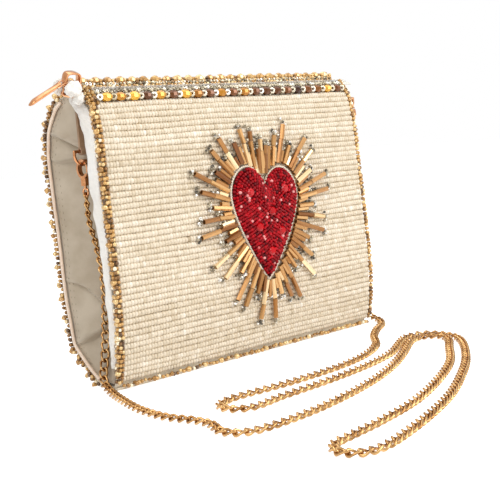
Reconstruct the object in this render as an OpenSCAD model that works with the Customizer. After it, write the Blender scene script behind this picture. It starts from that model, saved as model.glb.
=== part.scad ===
// Small beaded crossbody purse with a heart and rays on its front, a zip and a curb chain strap.
// Millimetres, +Z up. The origin is on the floor, on the flat bottom strip under the middle of the bag.
// X runs along the width, to the right as the front is seen, and the front faces -Y.

/* [Bag] */
// Width of the bag along the bottom
bag_w = 180; // [150:1:220]
// Height of the front panel
front_h = 143; // [125:1:146]
// How much higher the back panel stands than the front
back_rise = 4.8; // [4:0.2:8]
// How far the front swells forward of the bottom seam
front_bulge = 11.5; // [8:0.5:16]
// How far the stuffed back swells behind the bottom seam
back_bulge = 43.5; // [36:0.5:54]
// How much each side edge leans in at the top
side_taper = 2.2; // [0:0.2:6]
// Stiffener board in the front and back
board_t = 1.8; // [1.2:0.2:2.4]
// Lining cloth with its interfacing
lining_t = 0.8; // [0.6:0.1:1]
// Thickness of the flat bottom strip
strip_t = 1.2; // [0.8:0.1:1.6]

/* [Beadwork] */
// Height of one row of cream seed beads
row_pitch = 2.9; // [2.4:0.1:3.6]
// Diameter of the small gold beads on the edges
seed_d = 2.5; // [2:0.1:2.8]
// Diameter of the larger gold beads set among them
picot_d = 3.6; // [3:0.1:4.2]
// Small gold beads from one larger bead to the next
picot_every = 4; // [3:1:8]
// Diameter of the bronze crystals along the front top edge
crystal_d = 4.2; // [3.4:0.1:4.6]
// Length of one crystal
crystal_l = 5; // [4:0.1:6]
// Length of the silver seed bead between two crystals
spacer_l = 2.9; // [2:0.1:3.6]

/* [Heart] */
// Width of the padded heart
heart_w = 46; // [34:1:60]
// Height of the padded heart
heart_h = 60; // [44:1:70]
// Middle of the heart, to the right of the bag's middle
heart_x = 8; // [-10:1:14]
// Height of the heart's point above the floor
heart_z = 41; // [34:1:50]
// How far the pad stands out from the rows
pad_t = 3; // [2:0.2:4]
// Diameter of a bugle bead
bugle_d = 1.9; // [1.4:0.1:2.4]
// Number of rays round the heart
rays = 42; // [30:1:44]

/* [Zip] */
// How far each end of the zip stands out past the side of the bag
zip_out = 9; // [8:0.5:11]
// Distance from one tooth to the next on one tape
tooth_pitch = 2.4; // [2.2:0.1:3]
// Length of the slider
slider_l = 9; // [8:0.5:11]
// Width of the slider
slider_w = 8; // [7.4:0.2:9]
// Length of the pull bar
pull_l = 19; // [16:1:30]
// How far the pull hangs down over the end of the zip
pull_droop = 36; // [20:1:40]

/* [Strap] */
// Outer width of a chain link
link_w = 4.6; // [4.2:0.1:5.2]
// Thickness of the link wire
wire_d = 1.1; // [0.9:0.05:1.2]
// Distance from one link to the next
link_pitch = 4.6; // [4.2:0.1:5]
// Outer width of the D rings
ring_w = 10.4; // [9:0.2:12]
// Wire of the D rings
ring_wire_d = 1.5; // [1.2:0.1:1.7]
// Outer width of the hook of each clasp
hook_w = 9.6; // [9.2:0.2:10.4]
// Thickness of the hook of each clasp
hook_t = 2.4; // [2:0.1:2.6]

/* [Hidden] */

// Fineness of round forms
$fn = 32;
// Steps between two points of a smooth curve
curve_steps = 4;
// Clearance between pieces that lie on each other
fit = 0.1;
// Clearance of pieces that move
play = 0.3;
// Overrun of cuts
over = 1;
// Height of the back panel
back_h = front_h + back_rise;

// Smooth curve through a list of points
function blend(a, b, c, d, t) =
  (2 * b + (c - a) * t + (2 * a - 5 * b + 4 * c - d) * t * t + (3 * b - a - 3 * c + d) * t * t * t) / 2;
function smooth(p, n) = concat(
  [for (i = [0 : len(p) - 2], k = [0 : n - 1])
    blend(p[max(i - 1, 0)], p[i], p[i + 1], p[min(i + 2, len(p) - 1)], k / n)],
  [p[len(p) - 1]]);
function shifted(p, d) = [for (q = p) q + d];
function reversed(p) = [for (i = [len(p) - 1 : -1 : 0]) p[i]];
function unit(v) = v / norm(v);
// Length run along a curve up to each of its points
function run_lengths(p) = [for (i = 0, s = 0; i < len(p);
  s = s + (i < len(p) - 1 ? norm(p[i + 1] - p[i]) : 0), i = i + 1) s];
// Tables that give each coordinate by the length run along a curve
function run_table(p, axis) = let (s = run_lengths(p)) [for (i = [0 : len(p) - 1]) [s[i], p[i][axis]]];
function along2(ty, tz, s) = [lookup(s, ty), lookup(s, tz)];
function along3(tx, ty, tz, s) = [lookup(s, tx), lookup(s, ty), lookup(s, tz)];

// Side view of the front, as shares of the bulge and of the height, from the bottom up
front_shares = [
  [0.47, 0.011], [0.74, 0.064], [0.94, 0.17], [1, 0.3], [0.91, 0.47], [0.75, 0.67], [0.65, 0.83],
  [0.46, 0.93], [0.2, 1]
];
// Side view of the back, as shares of the bulge and of the height, from the bottom up
back_shares = [
  [0.21, 0.0085], [0.31, 0.0175], [0.51, 0.058], [0.641, 0.09], [0.759, 0.122], [0.793, 0.16],
  [0.828, 0.218], [0.869, 0.278], [0.894, 0.358], [0.908, 0.441], [0.931, 0.528], [0.963, 0.619],
  [0.984, 0.697], [1, 0.769], [0.975, 0.819], [0.949, 0.857], [0.887, 0.892], [0.795, 0.926],
  [0.697, 0.954], [0.483, 0.982], [0.264, 1]
];
front_curve = smooth([for (s = front_shares) [-s[0] * front_bulge, s[1] * front_h]], curve_steps);
back_curve = smooth([for (s = back_shares) [s[0] * back_bulge, s[1] * back_h]], curve_steps - 1);
front_by_height = [for (p = front_curve) [p[1], p[0]]];
// Y of the front's outer face at a height
function front_y(z) = lookup(z, front_by_height);
// Half width of the bag at a height
function half_w(z) = bag_w / 2 - side_taper * z / front_h;

// Depths in the front, from the tops of the rows inward
front_board_y = row_pitch;
front_lining_y = front_board_y + board_t;
front_inner_y = front_lining_y + lining_t;
back_inner_y = board_t + lining_t;

// Flat strip between two curves of the side view, across the bag
module across(w) {
  rotate([90, 0, 90]) linear_extrude(height = w, center = true) children();
}
// Keeps what lies between the two sloping side edges
module between_sides(inset) {
  z_top = back_h + picot_d * 2;
  rotate([90, 0, 0]) linear_extrude(height = bag_w * 2, center = true)
    polygon([
      [-half_w(0) + inset, 0], [half_w(0) - inset, 0],
      [half_w(z_top) - inset, z_top], [-half_w(z_top) + inset, z_top]
    ]);
}
module panel(outer, inner, inset) {
  intersection() {
    across(bag_w) polygon(concat(outer, reversed(inner)));
    between_sides(inset);
  }
}
function part_of(p, low, high) = [for (q = p) if (q[1] >= low && q[1] <= high) q];

// Bottom strip
strip_front_y = -3.6;
strip_back_y = back_curve[0][0];
module bottom_strip() {
  outline = [[strip_front_y, 0], [strip_back_y, 0], [strip_back_y, strip_t], [strip_front_y, strip_t]];
  color("#e9dfce") intersection() {
    across(bag_w) polygon(outline);
    between_sides(0);
  }
}

// Back panel, its lining and a slip pocket
module back_board() {
  color("#efe6d6") panel(back_curve, shifted(back_curve, [-board_t, 0]), 0);
}
lining_low = 6;
module back_lining() {
  inner = part_of(shifted(back_curve, [-board_t, 0]), lining_low, back_h - seed_d);
  color("#dcd2c4") panel(inner, shifted(inner, [-lining_t, 0]), lining_t);
}
pocket_w = 110;
pocket_low = 36;
pocket_high = 104;
module slip_pocket() {
  inner = part_of(shifted(back_curve, [-board_t - lining_t, 0]), pocket_low, pocket_high);
  color("#d6ccbe") across(pocket_w) polygon(concat(inner, reversed(shifted(inner, [-lining_t, 0]))));
}

// Front panel: board, rows of beads on cloth, lining
// The board's top lies under the crystals, and is thinned behind them to let the slider pass
lip = 0.8;
lip_h = 4;
front_top = [front_y(front_h - lip) + front_board_y, front_h - lip];
module front_board() {
  outer = part_of(shifted(front_curve, [front_board_y, 0]), 0, front_h - lip);
  inner = part_of(shifted(front_curve, [front_lining_y, 0]), 0, front_h - lip - lip_h);
  color("#efe6d6") panel(concat(outer, [front_top]), concat(inner, [front_top + [board_t / 3, 0]]), 0);
}
module front_lining() {
  inner = part_of(shifted(front_curve, [front_lining_y, 0]), lining_low, front_h - lining_low);
  color("#dcd2c4") panel(inner, shifted(inner, [lining_t, 0]), lining_t);
}
front_ty = run_table(front_curve, 0);
front_tz = run_table(front_curve, 1);
front_run = front_ty[len(front_ty) - 1][0];
rows_low = 2.4;
rows_run = front_run - rows_low - crystal_d;
row_count = floor(rows_run / row_pitch);
// The rows share what is left over, so that the top one always meets the crystals
row_step = rows_run / row_count;
// Angles at which each rounded row is drawn
row_angles = [-66, -33, 0, 33, 66];
function front_dir(s) = unit(along2(front_ty, front_tz, s + fit) - along2(front_ty, front_tz, s - fit));
function row_points(k) = let (
    s = rows_low + (k + 1 / 2) * row_step,
    up = front_dir(s),
    out = [-up[1], up[0]],
    c = along2(front_ty, front_tz, s) - out * row_pitch / 2)
  [for (a = row_angles) c + out * cos(a) * row_pitch / 2 + up * sin(a) * row_step / 2];
rows_front = [for (k = [0 : row_count - 1]) each row_points(k)];
rows_top = rows_front[len(rows_front) - 1][1];
rows_back = part_of(shifted(front_curve, [front_board_y, 0]), rows_front[0][1] - fit, rows_top);
module front_beadwork() {
  color("#efe3c9") panel(rows_front, rows_back, seed_d / 2);
}

// Soft gussets, folded inward, between the front and the back lining
fold_depth = 19;
gusset_t = 0.6;
gusset_levels = 18;
// The zip passes over the top of the front board and under the top of the back board, clear of both
tape_t = 0.6;
back_top = back_curve[len(back_curve) - 1];
mouth = back_top - [board_t, 0] - front_top;
mouth_clear = tape_t / 2 + play;
zip_mid = front_top + mouth / 2;
zip_tilt = atan2(mouth[1], mouth[0]) - asin(2 * mouth_clear / norm(mouth));
// Width of each tape from the middle of the zip
tape_w = sqrt(norm(mouth) * norm(mouth) / 4 - mouth_clear * mouth_clear) - 2 * fit;
zip_dir = [cos(zip_tilt), sin(zip_tilt)];
zip_up = [-sin(zip_tilt), cos(zip_tilt)];
gusset_front_curve = concat(
  shifted(part_of(front_curve, rows_low, front_h - seed_d), [front_inner_y + play, 0]),
  [zip_mid - zip_dir * tape_w / 2 - zip_up * picot_d]);
gusset_back_curve = concat(
  shifted(part_of(back_curve, rows_low, back_h - seed_d), [-back_inner_y - play, 0]),
  [zip_mid + zip_dir * tape_w / 2 - zip_up * picot_d]);
gf_ty = run_table(gusset_front_curve, 0);
gf_tz = run_table(gusset_front_curve, 1);
gb_ty = run_table(gusset_back_curve, 0);
gb_tz = run_table(gusset_back_curve, 1);
gf_run = gf_ty[len(gf_ty) - 1][0];
gb_run = gb_ty[len(gb_ty) - 1][0];
// Places across the gusset, from the front edge to the back edge, and how deep each lies in the fold
across_shares = [0, 0.08, 0.13, 0.17, 0.22, 0.31, 0.45, 0.61, 0.76, 0.9, 1];
depth_shares = [0, 0, 0.04, 0.55, 1, 0.93, 0.72, 0.48, 0.26, 0.08, 0];
function gusset_point(t, j, inward) = let (
    a = along2(gf_ty, gf_tz, t * gf_run),
    b = along2(gb_ty, gb_tz, t * gb_run),
    q = a + (b - a) * across_shares[j],
    d = fold_depth * pow(sin(180 * t), 0.6) * depth_shares[j])
  [-(half_w(q[1]) - lining_t - d - inward), q[0], q[1]];
function sheet_faces(n, m) = concat(
  [for (i = [0 : n - 2], j = [0 : m - 2])
    each let (a = i * m + j, b = a + 1, c = a + m, d = c + 1, o = n * m)
    [[a, c, b], [b, c, d], [a + o, b + o, c + o], [b + o, d + o, c + o]]],
  [for (j = [0 : m - 2]) each let (a = j, b = j + 1, e = (n - 1) * m + j, f = e + 1, o = n * m)
    [[a, b, a + o], [b, b + o, a + o], [e, e + o, f], [f, e + o, f + o]]],
  [for (i = [0 : n - 2]) each let (a = i * m, c = a + m, e = a + m - 1, g = e + m, o = n * m)
    [[a, a + o, c], [c, a + o, c + o], [e, g, e + o], [g, g + o, e + o]]]);
module gusset() {
  m = len(across_shares);
  levels = [for (i = [0 : gusset_levels]) i / gusset_levels];
  pts = concat(
    [for (t = levels, j = [0 : m - 1]) gusset_point(t, j, 0)],
    [for (t = levels, j = [0 : m - 1]) gusset_point(t, j, gusset_t)]);
  polyhedron(points = pts, faces = sheet_faces(gusset_levels + 1, m));
}
module gusset_left() {
  color("#d9cdbd") gusset();
}
module gusset_right() {
  color("#d9cdbd") mirror([1, 0, 0]) gusset();
}

// Tube with elliptical rings swept through points, each ring with its own half sizes
function ring_at(p, i, ra, rb, side, sides) = let (
    t = unit(p[min(i + 1, len(p) - 1)] - p[max(i - 1, 0)]),
    a = unit(side - t * (side * t)),
    b = cross(t, a))
  [for (k = [0 : sides - 1]) p[i] + a * ra * cos(360 * k / sides) + b * rb * sin(360 * k / sides)];
function tube_faces(n, m) = concat(
  [for (i = [0 : n - 2], k = [0 : m - 1])
    each let (a = i * m + k, b = i * m + (k + 1) % m, c = a + m, d = b + m) [[a, c, b], [b, c, d]]],
  [[for (k = [0 : m - 1]) k]],
  [[for (k = [m - 1 : -1 : 0]) (n - 1) * m + k]]);

// White band: the front part of each gusset, turned out beside the front panel
band_w = 8.6;
band_t = 2.6;
band_sides = 8;
band_shares = [0.32, 0.46, 0.54, 0.58, 0.6, 0.64, 0.72, 0.8, 0.92, 0.98, 1.03, 0.95, 1.02, 0.8];
band_place_share = 0.6;
// Part of a step that the band keeps clear of each end
band_start_share = 0.7;
function band_path() = [for (i = [0 : len(band_shares) - 1]) let (
    t = (i + band_start_share) / (len(band_shares) - 1 + 2 * band_start_share),
    a = along2(gf_ty, gf_tz, t * gf_run),
    z = a[1])
  [-(half_w(z) - lining_t + band_t / 2 + fit), a[0] + band_w * band_place_share, z]];
module front_band() {
  p = band_path();
  pts = [for (i = [0 : len(p) - 1]) each
    ring_at(p, i, band_w / 2 * band_shares[i], band_t / 2, [0, 1, 0], band_sides)];
  polyhedron(points = pts, faces = tube_faces(len(p), band_sides));
}
module front_band_left() {
  color("#f4f1ec") front_band();
}
module front_band_right() {
  color("#f4f1ec") mirror([1, 0, 0]) front_band();
}

// Piping along each side edge of the back
piping_d = 1.7;
piping_sides = 6;
// Points beside the back's side edge: so far inside its outer face, and so far out from its end
function back_edge(inset, out) = [for (i = [1 : 2 : len(back_curve) - 2]) let (
    up = unit(back_curve[i + 1] - back_curve[i - 1]),
    q = back_curve[i] + [-up[1], up[0]] * inset)
  [-(half_w(q[1]) + out), q[0], q[1]]];
module back_piping() {
  whole = back_edge(board_t + piping_d / 2, piping_d / 2 + fit);
  p = [for (q = whole) if (q[2] > rows_low && q[2] < back_h - zip_end_l) q];
  pts = [for (i = [0 : len(p) - 1]) each ring_at(p, i, piping_d / 2, piping_d / 2, [1, 0, 0], piping_sides)];
  polyhedron(points = pts, faces = tube_faces(len(p), piping_sides));
}
module back_piping_left() {
  color("#ead9c8") back_piping();
}
module back_piping_right() {
  color("#ead9c8") mirror([1, 0, 0]) back_piping();
}

// Zip: tapes, teeth, folded ends
tooth_w = 2.4;
tooth_l = 1.1;
tooth_t = 1.8;
zip_end_l = 8;
plate_t = 1;
slider_gap = tooth_t + 2 * play;
module zip_place() {
  translate([0, zip_mid[0], zip_mid[1]]) rotate([zip_tilt, 0, 0]) children();
}
// Gap between the two tapes, which takes the heads of the teeth
tape_gap = tooth_w / 2 + 2 * fit;
// Half length of the part sewn to the bag, and what the end of the tape is folded down to
sewn_half = bag_w / 2 - side_taper;
tape_end_w = 4;
teeth_stop = 3;
zip_l = 2 * (sewn_half + zip_out - teeth_stop);
module zip_tape(sign) {
  zip_place() for (size = [[sewn_half, tape_w], [sewn_half + zip_out, tape_end_w]]) {
    translate([-size[0], sign > 0 ? tape_gap / 2 : -size[1], -tape_t / 2])
      cube([size[0] * 2, size[1] - tape_gap / 2, tape_t]);
  }
}
teeth = floor(zip_l / tooth_pitch);
// One row of teeth, each a block with a rounded head, clasping the cord edge of its tape
module zip_teeth(sign) {
  start = -teeth * tooth_pitch / 2 + (sign > 0 ? tooth_pitch / 2 : 0);
  zip_place() for (i = [0 : teeth - 1]) {
    translate([start + i * tooth_pitch, 0, 0]) difference() {
      translate([-tooth_l / 2, sign > 0 ? -tooth_w / 4 : -tooth_w * 3 / 4, -tooth_t / 2])
        cube([tooth_l, tooth_w, tooth_t]);
      translate([-tooth_l, sign > 0 ? tape_gap / 2 - fit : -tooth_w - over, -tape_t / 2 - fit / 2])
        cube([tooth_l * 2, tooth_w + over - tape_gap / 2 + fit, tape_t + fit]);
    }
  }
}
module zip_tape_front() {
  color("#f0ece4") zip_tape(-1);
}
module zip_tape_back() {
  color("#f0ece4") zip_tape(1);
}
module zip_teeth_front() {
  color("#c9c9cc") zip_teeth(-1);
}
module zip_teeth_back() {
  color("#c9c9cc") zip_teeth(1);
}
// Folded tape ends: a soft pad past the end of each tape, with room for the pull between the two
module zip_end() {
  inner = pull_w / 2 + play;
  outer = tape_w - tape_gap / 2;
  for (sign = [-1, 1]) {
    zip_place()
      translate([
        -bag_w / 2 + side_taper - fit, sign * (inner + outer) / 2, -slider_gap / 2 - plate_t - play
      ])
        rotate([90, 0, 0]) linear_extrude(height = outer - inner, center = true)
          polygon([
            [0, -tape_w / 2], [0, 0], [-zip_end_l / 2, 0],
            [-zip_end_l, -tape_w / 4], [-zip_end_l, -tape_w / 2]
          ]);
  }
}
module zip_end_left() {
  color("#f4f1ec") zip_end();
}
module zip_end_right() {
  color("#f4f1ec") mirror([1, 0, 0]) zip_end();
}

// Slider: two plates joined by a nose post, side flanges, and a bridge for the pull
flange_t = 0.9;
bridge_h = 4.5;
bridge_t = 1;
bridge_w = 2.2;
slider_nose = 2.7;
slider_x = -sewn_half - zip_out + slider_l / 2 - slider_nose;
// Plate in plan: a round nose toward the end of the zip, straight sides and a narrower tail
module slider_plate() {
  nose_r = slider_w / 2;
  linear_extrude(height = plate_t) union() {
    translate([-slider_l / 2 + nose_r, 0]) circle(r = nose_r);
    polygon([
      [-slider_l / 2 + nose_r, -slider_w / 2], [slider_l / 4, -slider_w / 2],
      [slider_l / 2, -slider_w / 2 + plate_t], [slider_l / 2, slider_w / 2 - plate_t],
      [slider_l / 4, slider_w / 2], [-slider_l / 2 + nose_r, slider_w / 2]
    ]);
  }
}
module zip_slider() {
  flange_h = (slider_gap - tape_t) / 2 - play;
  color("#d9a05b") zip_place() translate([slider_x, 0, 0]) {
    translate([0, 0, slider_gap / 2]) slider_plate();
    translate([0, 0, -slider_gap / 2 - plate_t]) slider_plate();
    translate([-slider_l / 2, -plate_t / 2, -slider_gap / 2]) cube([plate_t, plate_t, slider_gap]);
    for (sign = [-1, 1], up = [0, 1]) {
      translate([-slider_l / 2 + slider_w / 2, sign * (slider_w - flange_t) / 2 - flange_t / 2,
          up ? slider_gap / 2 - flange_h : -slider_gap / 2])
        cube([slider_l * 3 / 4 - slider_w / 2, flange_t, flange_h]);
    }
    translate([0, bridge_w / 2, slider_gap / 2 + plate_t])
      rotate([90, 0, 0]) linear_extrude(height = bridge_w)
      difference() {
        polygon([
          [-slider_l / 2, 0], [-slider_l / 2, bridge_h * 2 / 3], [-slider_l / 3, bridge_h],
          [slider_l / 4, bridge_h], [slider_l / 2 - bridge_t, 0]
        ]);
        polygon([
          [-slider_l / 2 + bridge_t, 0], [-slider_l / 2 + bridge_t, bridge_h * 2 / 3 - bridge_t / 3],
          [-slider_l / 3 + bridge_t / 3, bridge_h - bridge_t],
          [slider_l / 4 - bridge_t / 2, bridge_h - bridge_t], [slider_l / 4 + bridge_t / 2, 0]
        ]);
      }
  }
}
// Pull: an eye through the bridge, a short link plate and a slim bar
pull_w = 3.8;
pull_t = 2.2;
eye_wire_d = 0.9;
eye_w = bridge_w + 2 * play + 2 * eye_wire_d;
eye_l = 5;
pull_pivot = [
  slider_x - slider_l / 2 + bridge_t + eye_wire_d / 2 + play / 2,
  slider_gap / 2 + plate_t + eye_wire_d / 2 + 4 * play
];
module zip_pull() {
  color("#dba263") zip_place() translate([pull_pivot[0], 0, pull_pivot[1]]) rotate([0, -pull_droop, 0]) {
    rotate([90, 0, 0]) cylinder(h = eye_w, d = eye_wire_d, center = true);
    for (sign = [-1, 1]) {
      translate([-eye_l / 2, sign * (eye_w - eye_wire_d) / 2, 0]) rotate([0, 90, 0])
        cylinder(h = eye_l, d = eye_wire_d, center = true);
    }
    translate([-eye_l, 0, 0]) rotate([90, 0, 0]) cylinder(h = eye_w, d = pull_t, center = true);
    difference() {
      translate([-pull_l, -pull_w / 2, -pull_t / 2]) cube([pull_l - eye_l, pull_w, pull_t]);
      translate([-pull_l + pull_w / 2, 0, -pull_t]) cylinder(h = pull_t * 2, d = pull_w / 3);
    }
  }
}

// Beads along the edges
module bead(d) {
  sphere(d = d);
}
// A string of beads that touch all but for a thread's slack, with their centres on a curve,
// and every so many one larger
function string_run(i, big, every) = let (k = i % every, pitch = seed_d + fit)
  floor(i / every) * ((every - 1) * pitch + big + fit)
  + (k == 0 ? 0 : (big + seed_d) / 2 + fit + (k - 1) * pitch);
module bead_string(p, big, every) {
  tx = run_table(p, 0);
  ty = run_table(p, 1);
  tz = run_table(p, 2);
  whole = tx[len(tx) - 1][0];
  places = [for (i = 0; string_run(i, big, every) <= whole; i = i + 1) string_run(i, big, every)];
  slack = (whole - places[len(places) - 1]) / 2;
  for (i = [0 : len(places) - 1]) {
    translate(along3(tx, ty, tz, places[i] + slack)) bead(i % every == 0 ? big : seed_d);
  }
}
crystal_pitch = crystal_l + spacer_l + fit;
crystals = floor((bag_w - 2 * side_taper - 2 * seed_d) / crystal_pitch);
top_y = front_y(front_h - crystal_d / 2) + front_board_y - crystal_d / 2 - fit;
top_z = front_h - crystal_d / 2 + fit;
module crystal() {
  rotate([0, 90, 0]) rotate_extrude($fn = 24) polygon([
    [crystal_d / 8, -crystal_l / 2], [crystal_d * 3 / 8, -crystal_l / 2], [crystal_d / 2, -crystal_l / 6],
    [crystal_d / 2, crystal_l / 6], [crystal_d * 3 / 8, crystal_l / 2], [crystal_d / 8, crystal_l / 2]
  ]);
}
module trim_front_crystals() {
  color("#8a5a24") for (i = [0 : crystals - 1]) {
    translate([(i - (crystals - 1) / 2) * crystal_pitch, top_y, top_z]) crystal();
  }
}
module trim_front_spacers() {
  color("#e8dcc0") for (i = [0 : crystals]) {
    translate([(i - crystals / 2) * crystal_pitch, top_y, top_z]) rotate([0, 90, 0]) difference() {
      cylinder(h = spacer_l - fit, d = crystal_d * 0.84, center = true);
      cylinder(h = spacer_l + over, d = crystal_d / 4, center = true);
    }
  }
}
module trim_back_top() {
  z = back_top[1] + picot_d / 2 + fit;
  y = back_top[0];
  half = half_w(z) - picot_d / 2;
  color("#c9963f") bead_string([[-half, y, z], [half, y, z]], picot_d, picot_every);
}
// Two columns of gold beads that cover the side edge of the front
module trim_front_side() {
  first = seed_d / 2;
  second = first + (picot_d + seed_d) / 2 + fit;
  for (col = [0, 1]) {
    p = [for (q = part_of(front_curve, rows_low, front_h - col * picot_d * 2)) [
      -(half_w(q[1]) + seed_d / 2 + fit + (1 - col) * (picot_d - seed_d) / 2),
      q[0] + (col == 0 ? first : second), q[1]]];
    bead_string(p, col == 0 ? picot_d : seed_d, picot_every);
  }
}
module trim_front_left() {
  color("#c08a35") trim_front_side();
}
module trim_front_right() {
  color("#c08a35") mirror([1, 0, 0]) trim_front_side();
}
module trim_back_side() {
  p = [for (q = back_edge(-seed_d / 2, seed_d / 2 + fit)) if (q[2] > seed_d) q];
  bead_string(p, picot_d, picot_every);
}
module trim_back_left() {
  color("#c08a35") trim_back_side();
}
module trim_back_right() {
  color("#c08a35") mirror([1, 0, 0]) trim_back_side();
}
module trim_bottom() {
  y = front_y(rows_low + seed_d / 2) - seed_d / 2;
  z = rows_low;
  half = bag_w / 2 - seed_d / 2;
  color("#c9963f") bead_string([[-half, y, z], [half, y, z]], seed_d, picot_every);
}

// Heart: half of its outline as shares of the width and of the height above its point
heart_half_shares = [
  [0, 0.83], [0.07, 0.93], [0.2, 0.995], [0.34, 0.98], [0.455, 0.89], [0.5, 0.755], [0.46, 0.6],
  [0.365, 0.43], [0.24, 0.26], [0.11, 0.1], [0, 0]
];
heart_right = smooth([for (s = heart_half_shares) [s[0] * heart_w, s[1] * heart_h]], curve_steps);
heart_loop = concat(heart_right,
  [for (i = [len(heart_right) - 2 : -1 : 1]) [-heart_right[i][0], heart_right[i][1]]]);
heart_mid = [0, heart_h * 0.56];
function grown(k) = [for (q = heart_loop) heart_mid + (q - heart_mid) * k];
// Prism of the heart along Y, its size times k
module heart_prism(k) {
  translate([heart_x, 0, heart_z]) rotate([90, 0, 0])
    linear_extrude(height = bag_w, center = true) polygon(grown(k));
}
// Layer in front of the rows, from one depth to another
module front_layer(from, to) {
  across(bag_w) polygon(concat(shifted(front_curve, [-to, 0]), reversed(shifted(front_curve, [-from, 0]))));
}
pad_rim_share = 0.55;
pad_mid_share = 0.82;
pad_shares = [0.97, 0.9, 0.78];
module heart_pad() {
  color("#a3122a") {
    intersection() {
      front_layer(fit / 2, pad_t * pad_rim_share);
      heart_prism(pad_shares[0]);
    }
    intersection() {
      front_layer(fit / 2, pad_t * pad_mid_share);
      heart_prism(pad_shares[1]);
    }
    intersection() {
      front_layer(fit / 2, pad_t);
      heart_prism(pad_shares[2]);
    }
  }
}
outline_t = 1.2;
module heart_outline() {
  color("#efe2cc") intersection() {
    front_layer(fit / 2, outline_t);
    difference() {
      heart_prism(1 + outline_t / heart_w * 2);
      heart_prism(pad_shares[0] + fit / heart_w * 2);
    }
  }
}
// Larger red stones on the heart, as shares of the heart's width and height
stone_shares = [[-0.27, 0.77], [0.27, 0.8], [0.05, 0.6], [-0.16, 0.46], [0.19, 0.42], [0.01, 0.24]];
stone_d = 5.4;
stone_sink_share = 0.36;
module heart_stones() {
  color("#d21f35") for (s = stone_shares) {
    z = heart_z + s[1] * heart_h;
    lean = atan((front_y(z + stone_d) - front_y(z - stone_d)) / stone_d / 2);
    translate([heart_x + s[0] * heart_w, front_y(z) - pad_t - fit, z])
      rotate([90 - lean, 0, 0]) intersection() {
        translate([0, 0, -stone_d * stone_sink_share]) bead(stone_d * 1.1);
        cylinder(h = stone_d, d = stone_d);
      }
  }
}
// Rays: bugle beads end to end outward from the heart, in lengths that vary in a set order
ray_in_shares = [0.5, 0.8, 0.55, 0.95, 0.6, 0.75];
ray_out_shares = [0.35, 0.9, 0.6, 1, 0.45, 0.8, 0.7];
ray_gap = 1.4;
// The rays at the notch stand further off, and fan out less
notch_rays = 2;
notch_gap_share = 0.8;
fan_share = 0.4;
fan_growth_share = 0.08;
outer_every = 3;
// Room for the rays: what the heart leaves free of the front above or below it, whichever is less
ray_room = min(front_h - crystal_d - heart_z - heart_h, heart_z - rows_low - seed_d);
// Shortest and longest inner and outer bugle, as shares of that room
ray_short_share = 70 / 361;
ray_long_share = 135 / 361;
outer_short_share = 50 / 361;
outer_long_share = 130 / 361;
heart_ring = concat(heart_loop, [heart_loop[0]]);
ring_tx = run_table(heart_ring, 0);
ring_tz = run_table(heart_ring, 1);
ring_run = ring_tx[len(ring_tx) - 1][0];
function ray_root(i) = along2(ring_tx, ring_tz, ring_run * (i + 1 / 2) / rays);
function ray_dir(i) = let (
    s = ring_run * (i + 1 / 2) / rays,
    a = along2(ring_tx, ring_tz, s - ring_run / rays),
    b = along2(ring_tx, ring_tz, min(s + ring_run / rays, ring_run)),
    square = [-(b - a)[1], (b - a)[0]],
    radial = ray_root(i) - heart_mid)
  unit(unit(square) * sign(square * radial) * min(fan_share, fan_growth_share * from_notch(i))
    + unit(radial));
function from_notch(i) = min(i, rays - 1 - i);
function ray_start(i) = outline_t + ray_gap * (1 + max(0, notch_rays - from_notch(i)) * notch_gap_share);
function in_l(i) = ray_room
  * (ray_short_share + (ray_long_share - ray_short_share) * ray_in_shares[i % len(ray_in_shares)]);
function out_l(i) = ray_room
  * (outer_short_share + (outer_long_share - outer_short_share) * ray_out_shares[i % len(ray_out_shares)]);
function has_outer(i) = i % outer_every != 1;
// Place on the rows at a run out along a ray
function on_ray(i, s, lift) = let (q = ray_root(i) + ray_dir(i) * s, z = heart_z + q[1])
  [heart_x + q[0], front_y(z) - lift, z];
module bugle(a, b) {
  v = b - a;
  translate(a) rotate([0, acos(v[2] / norm(v)), atan2(v[1], v[0])]) cylinder(h = norm(v), d = bugle_d);
}
lift = bugle_d / 2 + fit * 1.5;
module bugle_rays() {
  color("#c8994f") for (i = [0 : rays - 1]) {
    bugle(on_ray(i, ray_start(i), lift), on_ray(i, ray_start(i) + in_l(i), lift));
    if (has_outer(i)) {
      start = ray_start(i) + in_l(i) + fit * 2;
      bugle(on_ray(i, start, lift), on_ray(i, start + out_l(i), lift));
    }
  }
}
end_bead_d = 2.1;
module ray_end_beads() {
  color("#d8d2c6") for (i = [0 : rays - 1]) {
    s = ray_start(i) + in_l(i) + (has_outer(i) ? out_l(i) + fit * 2 : 0) + end_bead_d / 2 + fit;
    translate(on_ray(i, s, end_bead_d / 2 + fit)) bead(end_bead_d);
  }
}

// Strap fittings. Each side has the place of its ring bar: x, y, z
bar_left_inset = 4.5;
bar_left_low = 26.7;
bar_left = [-bag_w / 2 + bar_left_inset, 15, front_h - bar_left_low];
bar_right_out = 6.5;
bar_right_low = 8;
bar_right = [bag_w / 2 + bar_right_out, 4.5, front_h - bar_right_low];
loop_w = 5.4;
loop_t = 0.8;
// How far each loop's tail reaches up from its bar, to the gusset on the left
// and the zip's end on the right
tail_left = 19.1;
zip_end_under = slider_gap / 2 + plate_t + play + tape_w / 2;
tail_right = zip_mid[1] + (bar_right[1] - loop_t / 2 - zip_mid[0]) * tan(zip_tilt)
  - zip_end_under / cos(zip_tilt)
  - play - bar_right[2];
ring_leg = 2;
ring_r = (ring_w - ring_wire_d) / 2;
hook_wall = 1.4;
hook_hole_d = hook_w - 2 * hook_wall;
ring_drop = ring_leg + ring_r;
hang_gap = 0.5;
hook_drop = ring_drop + hook_hole_d / 2 - ring_wire_d / 2 - hang_gap;
barrel_d = 4;
barrel_h = 3.4;
post_d = 1.5;
eye_d = 4.6;
eye_gap = 0.8;
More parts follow.
